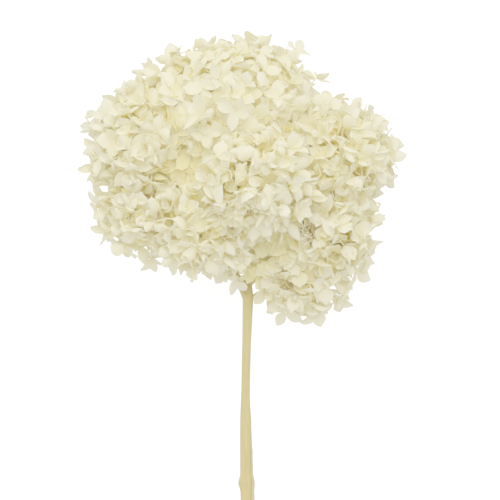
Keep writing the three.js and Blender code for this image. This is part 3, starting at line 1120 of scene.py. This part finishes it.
@dataclass
class Head:
    """The head of the flower: its florets, and the pieces that each cluster is made of."""

    frame: FlowerFrame
    grid: SepalGrid = SepalGrid()
    habit: Habit = Habit()
    stem_clearance: float = 7.5 * MM
    stem_clear_top: float = 8 * MM
    crease_overlap: float = 2.5 * MM
    shift: float = 0.16
    farthest_off: float = 5 * MM
    lean: Span = (0.45, 1.0)
    size_spread: float = 0.09
    size_range: Span = (0.75, 1.2)
    crumple_spread: float = 0.22
    farthest_droop: float = 1.6
    tint_middle: float = 0.4
    tint_spread: Span = (0.22, 0.2)
    button_radius: float = 0.75 * MM
    button_taper: float = 0.86
    button_seat: float = 0.9
    pedicel_radius: float = 0.42 * MM
    pedicel_taper: Span = (1.15, 0.85)
    pedicel_bend: float = 0.45
    pedicel_end: float = 0.3 * MM
    knob_share: float = 0.56
    # Painted shade of the sepals: a yellow by depth in the lobes, in the creases and by the light
    # the lobes keep out.
    shade_depth_range: Span = (2.5 * MM, 12 * MM)
    crease_shade: float = 0.8
    crease_shade_range: Span = (0.5, 1.3)
    skin_depth: float = 3 * MM
    ways_out: int = 48
    light_depth: float = 12 * MM
    occlusion_shade_range: Span = (0.76, 0.95)
    seed: int = 7

    def hub(self, lobe: Lobe) -> Array:
        """Place of a lobe's hub in the row's frame."""
        return self.frame.place(np.array(lobe.hub) * MM)

    def cluster_directions(self, lobe: Lobe) -> Array:
        """Directions from a lobe's hub to the middles of its packed clusters' boxes.

        Args:
            lobe: The lobe.

        Returns:
            The directions, (clusters, 3).
        """
        corners = [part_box(f"{lobe.name}_florets_{n + 1}") for n in range(lobe.clusters)]
        middles = np.array([(np.array(low) + np.array(high)) / 2 for low, high in corners])
        return unit(middles - self.hub(lobe))

    def knobs(self, lobe: Lobe) -> Array:
        """Points at which the pedicels of each cluster of a lobe meet."""
        reach = self.knob_share * lobe.radius * MM
        return self.hub(lobe) + reach * self.cluster_directions(lobe)

    def is_outside(self, points: Array, own: Lobe, inset: float) -> Array:
        """Whether points of one lobe's layer stand outside the same layer of all other lobes.

        Args:
            points: Points in the row's frame.
            own: The lobe that they belong to.
            inset: The layer's distance inside the lobes' rounds.

        Returns:
            A mask over the points.
        """
        outside = np.ones(len(points), bool)
        for lobe in LOBES:
            if lobe is not own:
                away = np.linalg.norm(points - self.hub(lobe), axis=1)
                outside &= away > lobe.radius * MM - inset - self.crease_overlap
        return outside

    def clears_stem(self, points: Array) -> Array:
        """Whether points keep clear of the stem below the head.

        Args:
            points: Points in the row's frame.

        Returns:
            A mask over the points.
        """
        axis = self.frame.turn(np.array([0.0, 0.0, 1.0]))
        offset = points - self.frame.fork
        height = offset @ axis
        away = np.linalg.norm(offset - height[:, None] * axis, axis=1)
        return (away > self.stem_clearance) | (height > self.stem_clear_top)

    def lobe_florets(self, lobe: Lobe, layer: LayerSize, first: int,
                     rng: np.random.Generator) -> Florets:
        """Florets of one layer of a lobe, on its open side.

        They start on a golden spiral over a sphere. Each is shifted a little, stands off the
        sphere by a random amount, and leans over by a random slope.

        Args:
            lobe: The lobe.
            layer: The layer.
            first: Number of the lobe's first cluster.
            rng: Source of the random numbers.

        Returns:
            The florets.
        """
        radius = (lobe.radius - lobe.tuck) * MM - layer.inset
        count = int((SPHERE_PACKING * radius / layer.spacing) ** 2)
        directions = golden_directions(count, turn=first)
        shift = rng.normal(0, self.shift * layer.spacing / radius, (count, 3))
        directions = unit(directions + shift)
        off = rng.normal(0, layer.unevenness, count)
        out = radius + np.clip(off, -self.farthest_off, self.farthest_off)
        centre = self.hub(lobe) + directions * out[:, None]
        lean = rng.normal(0, layer.lean * (self.lean[0] + self.lean[1] * lobe.crumple), (count, 3))
        down = self.frame.turn(np.array([0.0, 0.0, -lobe.droop]))
        hanging = down * rng.uniform(0, self.farthest_droop, count)[:, None]
        facing = unit(directions + lean + hanging)
        size = np.clip(rng.normal(1, self.size_spread, count), *self.size_range)
        crumple = np.clip(lobe.crumple + rng.normal(0, self.crumple_spread, count), 0, 1)
        nearest = np.argmax(directions @ self.cluster_directions(lobe).T, axis=1)
        grown = Florets(centre, facing, first + nearest, size, crumple)
        keep = self.is_outside(centre, lobe, layer.inset) & self.clears_stem(centre)
        if layer is not Layer.INNER.value:
            keep &= self.clears_hollows(centre)
        return grown.chosen(keep)

    def clears_hollows(self, points: Array) -> Array:
        """Whether points stand outside every hollow.

        Args:
            points: Points in the row's frame.

        Returns:
            A mask over the points.
        """
        places = self.frame.place(np.array([hollow.place for hollow in HOLLOWS]) * MM)
        radii = np.array([hollow.radius for hollow in HOLLOWS]) * MM
        away = np.linalg.norm(points[:, None] - places, axis=-1)
        return (away > radii).all(axis=1)

    def occlusion_shade_at(self, points: Array) -> Array:
        """How much the lobes shut points off from light, from 0 to 1, used as painted shade.

        On each of a number of ways out from a point, the lengths that lie inside the lobes'
        rounds are added up, and the light that comes in falls off exponentially with the sum.
        The painted shade eases in with the share of the light that is lost.

        Args:
            points: Points in the row's frame.

        Returns:
            The shelter at each point.
        """
        hubs = np.array([self.hub(lobe) for lobe in LOBES])
        radii = np.array([(lobe.radius - lobe.tuck) * MM - self.skin_depth for lobe in LOBES])
        offset = points[:, None] - hubs
        lost = np.zeros(len(points))
        ways = golden_directions(self.ways_out, turn=0)
        for way in ways:
            ahead = -offset @ way
            half_chord = np.sqrt(np.maximum(
                radii**2 - (np.linalg.norm(offset, axis=-1) ** 2 - ahead**2), 0))
            inside = np.maximum(ahead + half_chord, 0) - np.maximum(ahead - half_chord, 0)
            lost += 1 - np.exp(-inside.sum(axis=1) / self.light_depth)
        return eased(lost / len(ways), *self.occlusion_shade_range)

    def painted_shade_at(self, points: Array) -> Array:
        """How deep in the head points are, from 0 to 1, used as painted shade.

        The depth eases in with the distance inside the nearest lobe's round. In a crease between
        lobes it is the creases' own, which paints shade there.

        Args:
            points: Points in the row's frame.

        Returns:
            The depth at each point.
        """
        inside = np.max([
            (lobe.radius - lobe.tuck) * MM - np.linalg.norm(points - self.hub(lobe), axis=1)
            for lobe in LOBES
        ], axis=0)
        depth = eased(inside, *self.shade_depth_range)
        for crease in SHADED_CREASES:
            place = self.frame.place(np.array(crease.place) * MM)
            away = np.linalg.norm(points - place, axis=1) / (crease.radius * MM)
            in_crease = 1 - eased(away, *self.crease_shade_range)
            depth = np.maximum(depth, self.crease_shade * in_crease)
        return depth

    def strays(self, clusters: list[tuple[Lobe, str]]) -> Florets:
        """The florets that stand off the lobes, in the clusters they are named for.

        Args:
            clusters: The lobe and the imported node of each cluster.

        Returns:
            The florets.
        """
        nodes = [node for _, node in clusters]
        return Florets(
            centre=self.frame.place(np.array([stray.place for stray in STRAYS]) * MM),
            facing=unit(self.frame.turn(np.array([stray.facing for stray in STRAYS]))),
            cluster=np.array([nodes.index(stray.node) for stray in STRAYS]),
            size=np.array([stray.size for stray in STRAYS]),
            crumple=np.array([stray.crumple for stray in STRAYS]),
        )

    def florets(self) -> tuple[Florets, list[tuple[Lobe, str]]]:
        """All florets of the head, grown lobe by lobe and layer by layer.

        Returns:
            The florets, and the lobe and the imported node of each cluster.
        """
        rng = np.random.default_rng(self.seed)
        groups: list[Florets] = []
        clusters: list[tuple[Lobe, str]] = []
        for lobe in LOBES:
            for layer in Layer:
                groups.append(self.lobe_florets(lobe, layer.value, len(clusters), rng))
            names = [f"{lobe.name}_florets_{n + 1}" for n in range(lobe.clusters)]
            clusters.extend((lobe, name) for name in names)
        groups.append(self.strays(clusters))
        return Florets.joined(groups), clusters

    def sepals(self, florets: Florets, rng: np.random.Generator) -> Skin:
        """Sepals of some florets, each turned to its floret's facing and pressed by the floor.

        Args:
            florets: The florets.
            rng: Source of the random numbers.

        Returns:
            The skin, with its UV map and the attributes "tint", "along" and "depth", the last being
            painted shade.
        """
        forms, owner = self.habit.forms(florets, rng)
        local = self.grid.surface(forms)
        up = florets.facing[owner][:, None, None, :]
        first = square_to(florets.facing)[owner][:, None, None, :]
        second = np.cross(up, first)
        placed = florets.centre[owner][:, None, None, :] + (
            local[..., :1] * first + local[..., 1:2] * second + local[..., 2:] * up)
        floret_spread, sepal_spread = self.tint_spread
        own_tint = rng.normal(self.tint_middle, floret_spread, len(florets.size))[owner]
        tint = np.clip(own_tint + rng.normal(0, sepal_spread, len(owner)), 0, 1)
        skin = self.frame.press(self.grid.skin(placed, tint))
        # painted shade: how much the lobes keep light from each floret
        occlusion_shade = self.occlusion_shade_at(florets.centre)[owner]
        occlusion_shade = np.repeat(occlusion_shade, len(skin.vertices) // len(owner))
        skin.values["depth"] = np.maximum(self.painted_shade_at(skin.vertices), occlusion_shade)
        return skin

    def buttons(self, florets: Florets) -> Skin:
        """A bead in the middle of each floret: a short tube that narrows to both its ends.

        Its radius follows the root of one less a share of the height squared.

        Args:
            florets: The florets.

        Returns:
            The skin.
        """
        height = np.linspace(-1, 1, 4)
        girth = np.sqrt(1 - self.button_taper * height**2)
        radius = self.button_radius * florets.size[:, None]
        along = (radius * (height + self.button_seat))[..., None] * florets.facing[:, None, :]
        beads = tube_skin(florets.centre[:, None, :] + along, radius * girth, sides=6)
        return self.frame.press(beads)

    def pedicels(self, florets: Florets, knobs: Array) -> Skin:
        """Thin stalks, bent from a cluster's knob to the back of each of its florets.

        Each follows a curve of three points: the knob, a point behind the floret, and the
        floret.

        Args:
            florets: The florets.
            knobs: The knob that each one's pedicel starts from.

        Returns:
            The skin.
        """
        t = np.linspace(0, 1, 6)[None, :, None]
        start = knobs[:, None, :]
        end = (florets.centre - self.pedicel_end * florets.facing)[:, None, :]
        reach = np.linalg.norm(end - start, axis=-1, keepdims=True)
        bend = end - self.pedicel_bend * reach * florets.facing[:, None, :]
        paths = bent(start, bend, end, t)
        taper = np.broadcast_to(blended(*self.pedicel_taper, t[..., 0]), paths.shape[:2])
        return self.frame.press(tube_skin(paths, self.pedicel_radius * taper, sides=5))


# ------------------------------------------------------------------ stem and stalks


@dataclass
class Stem:
    """The main stem with its rachis, its leaf scar on the left and its slanted, pithy cut."""

    frame: FlowerFrame
    sizes: StemSizes
    around: int = 40
    along: int = 150
    drift_length: float = 60 * MM
    cut_rings: tuple[float, ...] = (0.12, 0.3, 0.36, 0.7, 0.93)
    pith_edge: float = 0.33
    pith_sunk: float = 0.5 * MM
    tip_rings: tuple[float, ...] = (0.85, 0.5)
    tip_height: float = 1.2 * MM
    slanted: float = 10 * MM
    scar_half: float = 3.2 * MM
    scar_turn: float = 0.75
    scar_height: float = 0.8 * MM
    ring_below: float = 0.6 * MM
    ring_half: float = 0.7 * MM
    ring_height: float = 0.22 * MM
    lower_half: float = 1.2 * MM
    fork_middle: float = 8 * MM
    fork_half: float = 6 * MM
    scar_stain: float = 0.45
    ring_stain: float = 0.25
    lower_stain: float = 0.35
    fork_browning: float = 0.6

    def ridges(self, height: Array, angle: Array) -> Array:
        """Low ridges along the grain: sines of the angle, whose phases drift with the height.

        Args:
            height: Heights above the fork.
            angle: Angles round the stem.

        Returns:
            What the ridges add to the radius.
        """
        drift = height / self.drift_length
        return MM * (
            0.09 * np.sin(5 * angle + 1.3 + 2.1 * np.sin(drift))
            + 0.06 * np.sin(9 * angle + 3 * np.sin(0.7 * drift + 1))
            + 0.04 * np.sin(14 * angle - 2 * drift)
        )

    def surface(self) -> Skin:
        """Bark from the cut to the rachis' tip, closed by rings over the cut face and the tip.

        The radius at a height is the stem's own, plus ridges and, on the left, the swelling of a
        leaf scar: a bell curve of the height times one of the angle. Over the slanted cut each
        ring is a share of the outline, and rises by the cut's slope.

        Returns:
            The skin, with the attributes "grain", "stain" and "cut".
        """
        sizes = self.sizes
        bark = np.linspace(-sizes.length, sizes.rachis_length, self.along)
        cut_rings, tip_rings = np.array(self.cut_rings), np.array(self.tip_rings)
        at_cut = np.full(len(cut_rings), bark[0])
        at_tip = bark[-1] + (1 - tip_rings) * self.tip_height
        height = np.concatenate([at_cut, bark, at_tip])[:, None]
        share = np.concatenate([cut_rings, np.ones(len(bark)), tip_rings])[:, None]
        angle = (np.arange(self.around) * 2 * math.pi / self.around)[None, :]
        (scar_down, _), (lower_down, _) = sizes.leaf_nodes
        scar = bell(height + scar_down, self.scar_half) * bell(angle - math.pi, self.scar_turn)
        ring = bell(height + scar_down + self.ring_below, self.ring_half)
        radius = sizes.radius_at(height) + self.ridges(height, angle)
        radius = share * (radius + self.scar_height * scar + self.ring_height * ring)
        x = radius * np.cos(angle) + sizes.sideways(height)
        y = radius * np.sin(angle)
        near_cut = 1 - eased(height, -sizes.length, -sizes.length + self.slanted)
        is_cut = (np.arange(len(height)) < len(cut_rings))[:, None]
        rise = near_cut * sizes.cut_slope * (sizes.radius - y)
        sunk = is_cut * (share < self.pith_edge) * self.pith_sunk
        z = height + rise + sunk
        points = self.frame.place(np.stack([x, y, z], axis=-1))
        points[..., 2] = np.maximum(points[..., 2], 0.0)
        skin = capped_rings(points[None])
        lower = bell(height + lower_down, self.lower_half)
        # browner near the fork, in three bands round it
        forked = bell(height - self.fork_middle, self.fork_half) * (0.6 + 0.4 * np.sin(3 * angle))
        stain = self.scar_stain * scar**4 + self.ring_stain * ring
        stain = np.clip(stain + self.lower_stain * lower + self.fork_browning * forked, 0, 1)
        is_face = is_cut * (share < 1)
        grain = np.stack(np.broadcast_arrays(np.cos(angle), np.sin(angle), height), axis=-1)
        for name, value, ends in (("stain", stain, (0, 0)), ("cut", is_face, (1, 0))):
            spread = np.broadcast_to(value, x.shape)[None, ..., None].astype(float)
            skin.values[name] = flattened(spread, np.array(ends, float)[None, :, None])[:, 0]
        pole_grain = np.array([[[0, 0, height[0, 0]], [0, 0, height[-1, 0]]]])
        skin.values["grain"] = flattened(grain[None], pole_grain)
        return skin


@dataclass
class SideShoot:
    """The thin dried shoot that runs up the right side of the stem from the lower leaf node."""

    frame: FlowerFrame
    stem: StemSizes
    bottom: float = -140 * MM
    top: float = -64 * MM
    base_radius: float = 1.5 * MM
    tip_radius: float = 0.5 * MM
    sunk_at_base: float = 0.25 * MM
    sunk_at_tip: float = 0.95 * MM
    joint: float = 9 * MM
    joint_sink: float = 3 * MM
    sway: float = 0.3 * MM
    along: int = 40

    def surface(self) -> Skin:
        """A tube on the stem's right side that grows out of it and sinks into it at its tip.

        Its radius narrows in a line, with slow and quick sines of the way along for knobbles.

        Returns:
            The skin.
        """
        share = np.linspace(0, 1, self.along)
        height = np.linspace(self.bottom, self.top, self.along)
        radius = blended(self.base_radius, self.tip_radius, share)
        radius = radius * (1 + 0.05 * np.sin(share * 23) + 0.04 * np.sin(share * 51 + 1))
        sunk = blended(self.sunk_at_base, self.sunk_at_tip, share**2)
        sunk = sunk + self.joint_sink * (1 - eased(height, self.bottom, self.bottom + self.joint))
        beside = self.stem.radius_at(height) + radius - sunk
        x = self.stem.sideways(height) + beside
        y = self.sway * np.sin(share * 9)
        path = self.frame.place(np.stack([x, y, height], axis=-1))
        return tube_skin(path[None], radius[None], sides=14)


@dataclass
class Stalks:
    """The branches inside the head: a ray to each lobe's hub, and arms from it to the knobs."""

    frame: FlowerFrame
    head: Head
    ray_base: float = 1.5 * MM
    ray_tip: float = 1.0 * MM
    arm_base: float = 0.85 * MM
    arm_tip: float = 0.6 * MM
    arm_bow: float = 0.06
    root_below: float = 3 * MM
    ray_bend: float = 0.32
    ray_rise: float = 0.13

    def ray(self, lobe: Lobe) -> Skin:
        """A ray that leaves the rachis nearly along it and bends out to the lobe's hub.

        It follows a curve of three points: a root on the axis, a point above it that is a share
        of the way to the hub, and the hub.

        Args:
            lobe: The lobe at its end.

        Returns:
            The skin.
        """
        root = np.array([0.0, 0.0, lobe.leaves * MM - self.root_below])
        hub = np.array(lobe.hub) * MM
        reach = np.linalg.norm(hub - root)
        bend = root + self.ray_bend * (hub - root) + np.array([0.0, 0.0, self.ray_rise * reach])
        t = np.linspace(0, 1, 14)[:, None]
        path = bent(root, bend, hub, t)
        radii = blended(self.ray_base, self.ray_tip, t[:, 0])
        return tube_skin(self.frame.place(path)[None], radii[None], sides=10)

    def arms(self, lobe: Lobe) -> Skin:
        """Arms from a lobe's hub to the knob of each cluster, bowed by half a wave of a sine.

        Args:
            lobe: The lobe.

        Returns:
            The skin.
        """
        hub = self.head.hub(lobe)
        knobs = self.head.knobs(lobe)
        t = np.linspace(0, 1, 8)[None, :, None]
        bow = self.arm_bow * np.linalg.norm(knobs - hub, axis=1)[:, None, None]
        side = square_to(knobs - hub)[:, None, :]
        paths = hub + (knobs - hub)[:, None, :] * t + bow * side * np.sin(math.pi * t)
        radii = np.broadcast_to(blended(self.arm_base, self.arm_tip, t[..., 0]), paths.shape[:2])
        return tube_skin(paths, radii, sides=8)

    def surface(self, lobe: Lobe) -> Skin:
        """A lobe's ray and arms, pressed by the floor."""
        return self.frame.press(Skin.joined([self.ray(lobe), self.arms(lobe)]))


@dataclass(frozen=True)
class Tuft:
    """A place where the small fertile florets show, and the way they face."""

    name: str
    place: Triple
    facing: Triple
    threads: int


@dataclass
class FertileTufts:
    """Fine threads with a bead at each end: the small fertile florets down in the creases."""

    frame: FlowerFrame
    length: float = 8 * MM
    thread_radius: float = 0.19 * MM
    length_range: Span = (0.6, 1.25)
    bead_radius: float = 0.42 * MM
    bead_length: float = 1.1
    bead_taper: float = 0.9
    start_spread: float = 1.6 * MM
    heading_spread: float = 0.5
    bend_spread: float = 1.2 * MM
    first_seed: int = 100
    tufts: tuple[Tuft, ...] = (
        Tuft("right_crease", (32, -27, 36), (0.1, -1, 0.2), 34),
        Tuft("right_crease_upper", (37, -22, 46), (0.2, -1, 0.2), 18),
        Tuft("left_hollow", (-40, -16, 72), (0, -1, 0.3), 12),
        Tuft("middle_crease", (-24, -40, 60), (-0.2, -1, 0.2), 16),
        Tuft("neck_crease", (14, -16, 20), (0.2, -1, -0.2), 16),
    )

    def surface(self, tuft: Tuft, number: int) -> Skin:
        """Threads that fan out from the tuft's place.

        Each thread follows a curve of three points, from a random start near the place to a
        random end in a cone round the facing.

        Args:
            tuft: The tuft.
            number: Its number, which is added to the first seed for its random numbers.

        Returns:
            The skin of the threads and their beads.
        """
        rng = np.random.default_rng(self.first_seed + number)
        count = tuft.threads
        facing = unit(self.frame.turn(np.array(tuft.facing, float)))
        place = self.frame.place(np.array(tuft.place) * MM)
        start = place + rng.normal(0, self.start_spread, (count, 3))
        heading = unit(facing + rng.normal(0, self.heading_spread, (count, 3)))
        length = self.length * rng.uniform(*self.length_range, count)[:, None]
        end = start + heading * length
        bend = start + heading * length / 2 + rng.normal(0, self.bend_spread, (count, 3))
        t = np.linspace(0, 1, 6)[None, :, None]
        paths = bent(start[:, None], bend[:, None], end[:, None], t)
        threads = tube_skin(paths, np.full(paths.shape[:2], self.thread_radius), sides=4)
        height = np.linspace(-1, 1, 4)
        off = self.bead_radius * (height * self.bead_length)[None, :, None]
        beads = end[:, None] + off * heading[:, None]
        girth = self.bead_radius * np.sqrt(1 - self.bead_taper * height**2)
        girth = np.broadcast_to(girth, (count, len(height)))
        return self.frame.press(Skin.joined([threads, tube_skin(beads, girth, sides=6)]))


# ------------------------------------------------------------------ studio


@dataclass(frozen=True)
class SoftBox:
    """A large square light that faces the flower, in metres and watts."""

    name: str
    way: Triple
    away: float
    size: float
    power: float


@dataclass
class Studio:
    """Pale floor, soft light and the camera that looks down on the flower."""

    frame: FlowerFrame
    aim: Triple = (1.2 * MM, 0.0, 28.2 * MM)
    lit: Triple = (0.0, 0.0, 60 * MM)
    view_width: float = 0.300
    distance: float = 1.6
    sensor: float = 36.0
    farthest_seen: float = 20
    floor_half: float = 6.0
    white: Colour = (1.0, 1.0, 1.0)
    floor_white: Colour = (0.62, 0.62, 0.618)
    floor_glow: float = 0.80
    mottle_scale: float = 3
    mottle_detail: float = 2
    mottle_range: Span = (0.3, 0.7)
    mottle_share: float = 0.1
    ambient: float = 0.54
    soft_boxes: tuple[SoftBox, ...] = (
        SoftBox("key", way=(0.0, -1.0, 0.5), away=2.3, size=1.3, power=14.5),
        SoftBox("top", way=(-0.1, -0.6, 1.0), away=1.8, size=1.2, power=6.0),
    )
    softness: float = 2.6
    bounces: int = 28
    all_bounces: int = 32

    def camera(self) -> bpy.types.Object:
        """A long lens square to the stem, with the flower's top at the top of the view.

        Returns:
            The camera.
        """
        data = bpy.data.cameras.new("camera")
        data.sensor_width = self.sensor
        data.lens = self.sensor * self.distance / self.view_width
        data.clip_end = self.farthest_seen
        camera = bpy.data.objects.new("camera", data)
        target = self.frame.place(np.array(self.aim))
        back = self.frame.turn(np.array([0.0, -1.0, 0.0]))
        camera.location = Vector(target + back * self.distance)
        camera.rotation_euler = (math.pi / 2 - math.asin(back[2]), 0, 0)
        bpy.context.scene.collection.objects.link(camera)
        bpy.context.scene.camera = camera
        return camera

    def light(self, box: SoftBox) -> bpy.types.Object:
        """A soft box, set out from the flower along its way and turned to face it.

        Args:
            box: The soft box, whose way is in the upright flower's frame.

        Returns:
            The light.
        """
        data = bpy.data.lights.new(box.name, "AREA")
        data.size = box.size
        data.energy = box.power
        light = bpy.data.objects.new(box.name, data)
        middle = self.frame.place(np.array(self.lit))
        way = unit(self.frame.turn(np.array(box.way, float)))
        light.location = Vector(middle + box.away * way)
        toward = Vector(middle) - light.location
        light.rotation_euler = toward.to_track_quat("-Z", "Y").to_euler()
        bpy.context.scene.collection.objects.link(light)
        return light

    def floor_material(self) -> bpy.types.Material:
        """Pale matt paper with a glow, so that it stays nearly white.

        Returns:
            The material.
        """
        sheet = Sheet("floor_paper")
        place = sheet.node("TexCoord").outputs["Object"]
        clouds = sheet.noise(place, self.mottle_scale, self.mottle_detail)
        mottled = sheet.ranged(clouds, self.mottle_range, (0, self.mottle_share))
        colour = sheet.mixed(mottled, self.floor_white, self.white)
        matt = sheet.node("BsdfDiffuse")
        sheet.link(colour, matt.inputs["Color"])
        glow = sheet.node("Emission")
        glow.inputs["Strength"].default_value = self.floor_glow
        both = sheet.node("AddShader")
        sheet.link(matt.outputs["BSDF"], both.inputs[0])
        sheet.link(glow.outputs["Emission"], both.inputs[1])
        return sheet.finish(both.outputs["Shader"])

    def floor(self) -> bpy.types.Object:
        """A wide flat floor just under the flower, which isn't part of it.

        The flower's diffuse and transmitted rays don't see it, so its glow doesn't light the
        flower from behind.

        Returns:
            The floor.
        """
        half = self.floor_half
        corners = np.array([[-half, -half, 0], [half, -half, 0], [half, half, 0], [-half, half, 0]])
        mesh = bpy.data.meshes.new("floor")
        mesh.from_pydata(corners.tolist(), [], [(0, 1, 2, 3)])
        mesh.materials.append(self.floor_material())
        floor = bpy.data.objects.new("floor", mesh)
        floor.visible_diffuse = False
        floor.visible_transmission = False
        bpy.context.scene.collection.objects.link(floor)
        return floor

    def world(self) -> None:
        """Even white light from all round."""
        world = bpy.data.worlds.new("studio")
        world.use_nodes = True
        background = world.node_tree.nodes["Background"]
        background.inputs["Color"].default_value = (*self.white, 1)
        background.inputs["Strength"].default_value = self.ambient
        bpy.context.scene.world = world

    def build(self) -> None:
        """Sets out camera, floor and lights, and how light is worked out."""
        self.camera()
        self.floor()
        self.world()
        for box in self.soft_boxes:
            self.light(box)
        scene = bpy.context.scene
        scene.view_settings.view_transform = "Standard"
        scene.view_settings.look = "None"
        scene.view_settings.gamma = self.softness
        scene.cycles.diffuse_bounces = self.bounces
        scene.cycles.transmission_bounces = self.bounces
        scene.cycles.max_bounces = self.all_bounces


# ------------------------------------------------------------------ putting it together


@dataclass(frozen=True)
class Dress:
    """The materials of the pieces."""

    sepals: bpy.types.Material
    buttons: bpy.types.Material
    stalks: bpy.types.Material
    pedicels: bpy.types.Material
    stem: bpy.types.Material
    shoot: bpy.types.Material
    threads: bpy.types.Material

    @classmethod
    def made(cls) -> "Dress":
        """All the materials, made once.

        Returns:
            The materials.
        """
        stalks = StalkFinish("stalks", light=(0.58, 0.42, 0.11), dark=(0.42, 0.29, 0.06))
        pedicels = StalkFinish("pedicels", light=(0.94, 0.87, 0.50), dark=(0.88, 0.78, 0.36))
        shoot = StalkFinish("side_shoot", light=(0.54, 0.42, 0.15), dark=(0.38, 0.27, 0.075))
        threads = StalkFinish("threads", light=(0.98, 0.93, 0.62), dark=(0.97, 0.90, 0.50))
        return cls(
            sepals=SepalFinish().material(),
            buttons=BeadFinish().material(),
            stalks=stalks.material(),
            pedicels=pedicels.material(),
            stem=StemFinish().material(),
            shoot=shoot.material(),
            threads=threads.material(),
        )


def add_piece(name: str, skin: Skin, material: bpy.types.Material, slot: str,
              *nodes: str) -> bpy.types.Object:
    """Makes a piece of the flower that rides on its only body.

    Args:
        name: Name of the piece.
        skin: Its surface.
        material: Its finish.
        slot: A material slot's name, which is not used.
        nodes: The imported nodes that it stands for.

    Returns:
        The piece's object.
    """
    mesh = skin.mesh(name)
    mesh.materials.append(material)
    piece = bpy.data.objects.new(name, mesh)
    bpy.context.scene.collection.objects.link(piece)
    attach(piece, "root")
    if nodes:
        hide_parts(*nodes)
    log.info("%s: %d vertices, %d faces", name, len(mesh.vertices), len(mesh.polygons))
    return piece


def build_head(head: Head, dress: Dress) -> None:
    """Makes the sepals, buttons and pedicels of every cluster.

    Args:
        head: The head.
        dress: The materials.
    """
    florets, clusters = head.florets()
    log.info("head: %d florets", len(florets.size))
    for number, (lobe, node) in enumerate(clusters):
        own = florets.chosen(florets.cluster == number)
        rng = np.random.default_rng((head.seed, number))
        add_piece(f"sepals_{node}", head.sepals(own, rng), dress.sepals, "sepals", node)
        add_piece(f"buttons_{node}", head.buttons(own), dress.buttons, "sepals")
        knob = head.knobs(lobe)[int(node.rsplit("_", 1)[1]) - 1]
        pedicels = head.pedicels(own, np.broadcast_to(knob, own.centre.shape))
        add_piece(f"pedicels_{node}", pedicels, dress.pedicels, "rays")


def main() -> None:
    """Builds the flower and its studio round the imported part."""
    logging.basicConfig(level=logging.INFO, format="%(name)s: %(message)s")
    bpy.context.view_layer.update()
    sizes = StemSizes()
    frame_of_flower = FlowerFrame.from_stem(sizes)
    dress = Dress.made()
    head = Head(frame_of_flower)
    add_piece("stem", Stem(frame_of_flower, sizes).surface(), dress.stem, "stem", "main_stem")
    shoot = SideShoot(frame_of_flower, sizes).surface()
    add_piece("shoot", shoot, dress.shoot, "side_shoot", "side_shoot")
    stalks = Stalks(frame_of_flower, head)
    for lobe in LOBES:
        ray = f"ray_{lobe.name}"
        add_piece(f"stalk_{lobe.name}", stalks.surface(lobe), dress.stalks, "rays", ray)
    build_head(head, dress)
    tufts = FertileTufts(frame_of_flower)
    for number, tuft in enumerate(tufts.tufts):
        add_piece(f"threads_{tuft.name}", tufts.surface(tuft, number), dress.threads, "rays")
    Studio(frame_of_flower).build()


if __name__ == "__main__":
    main()
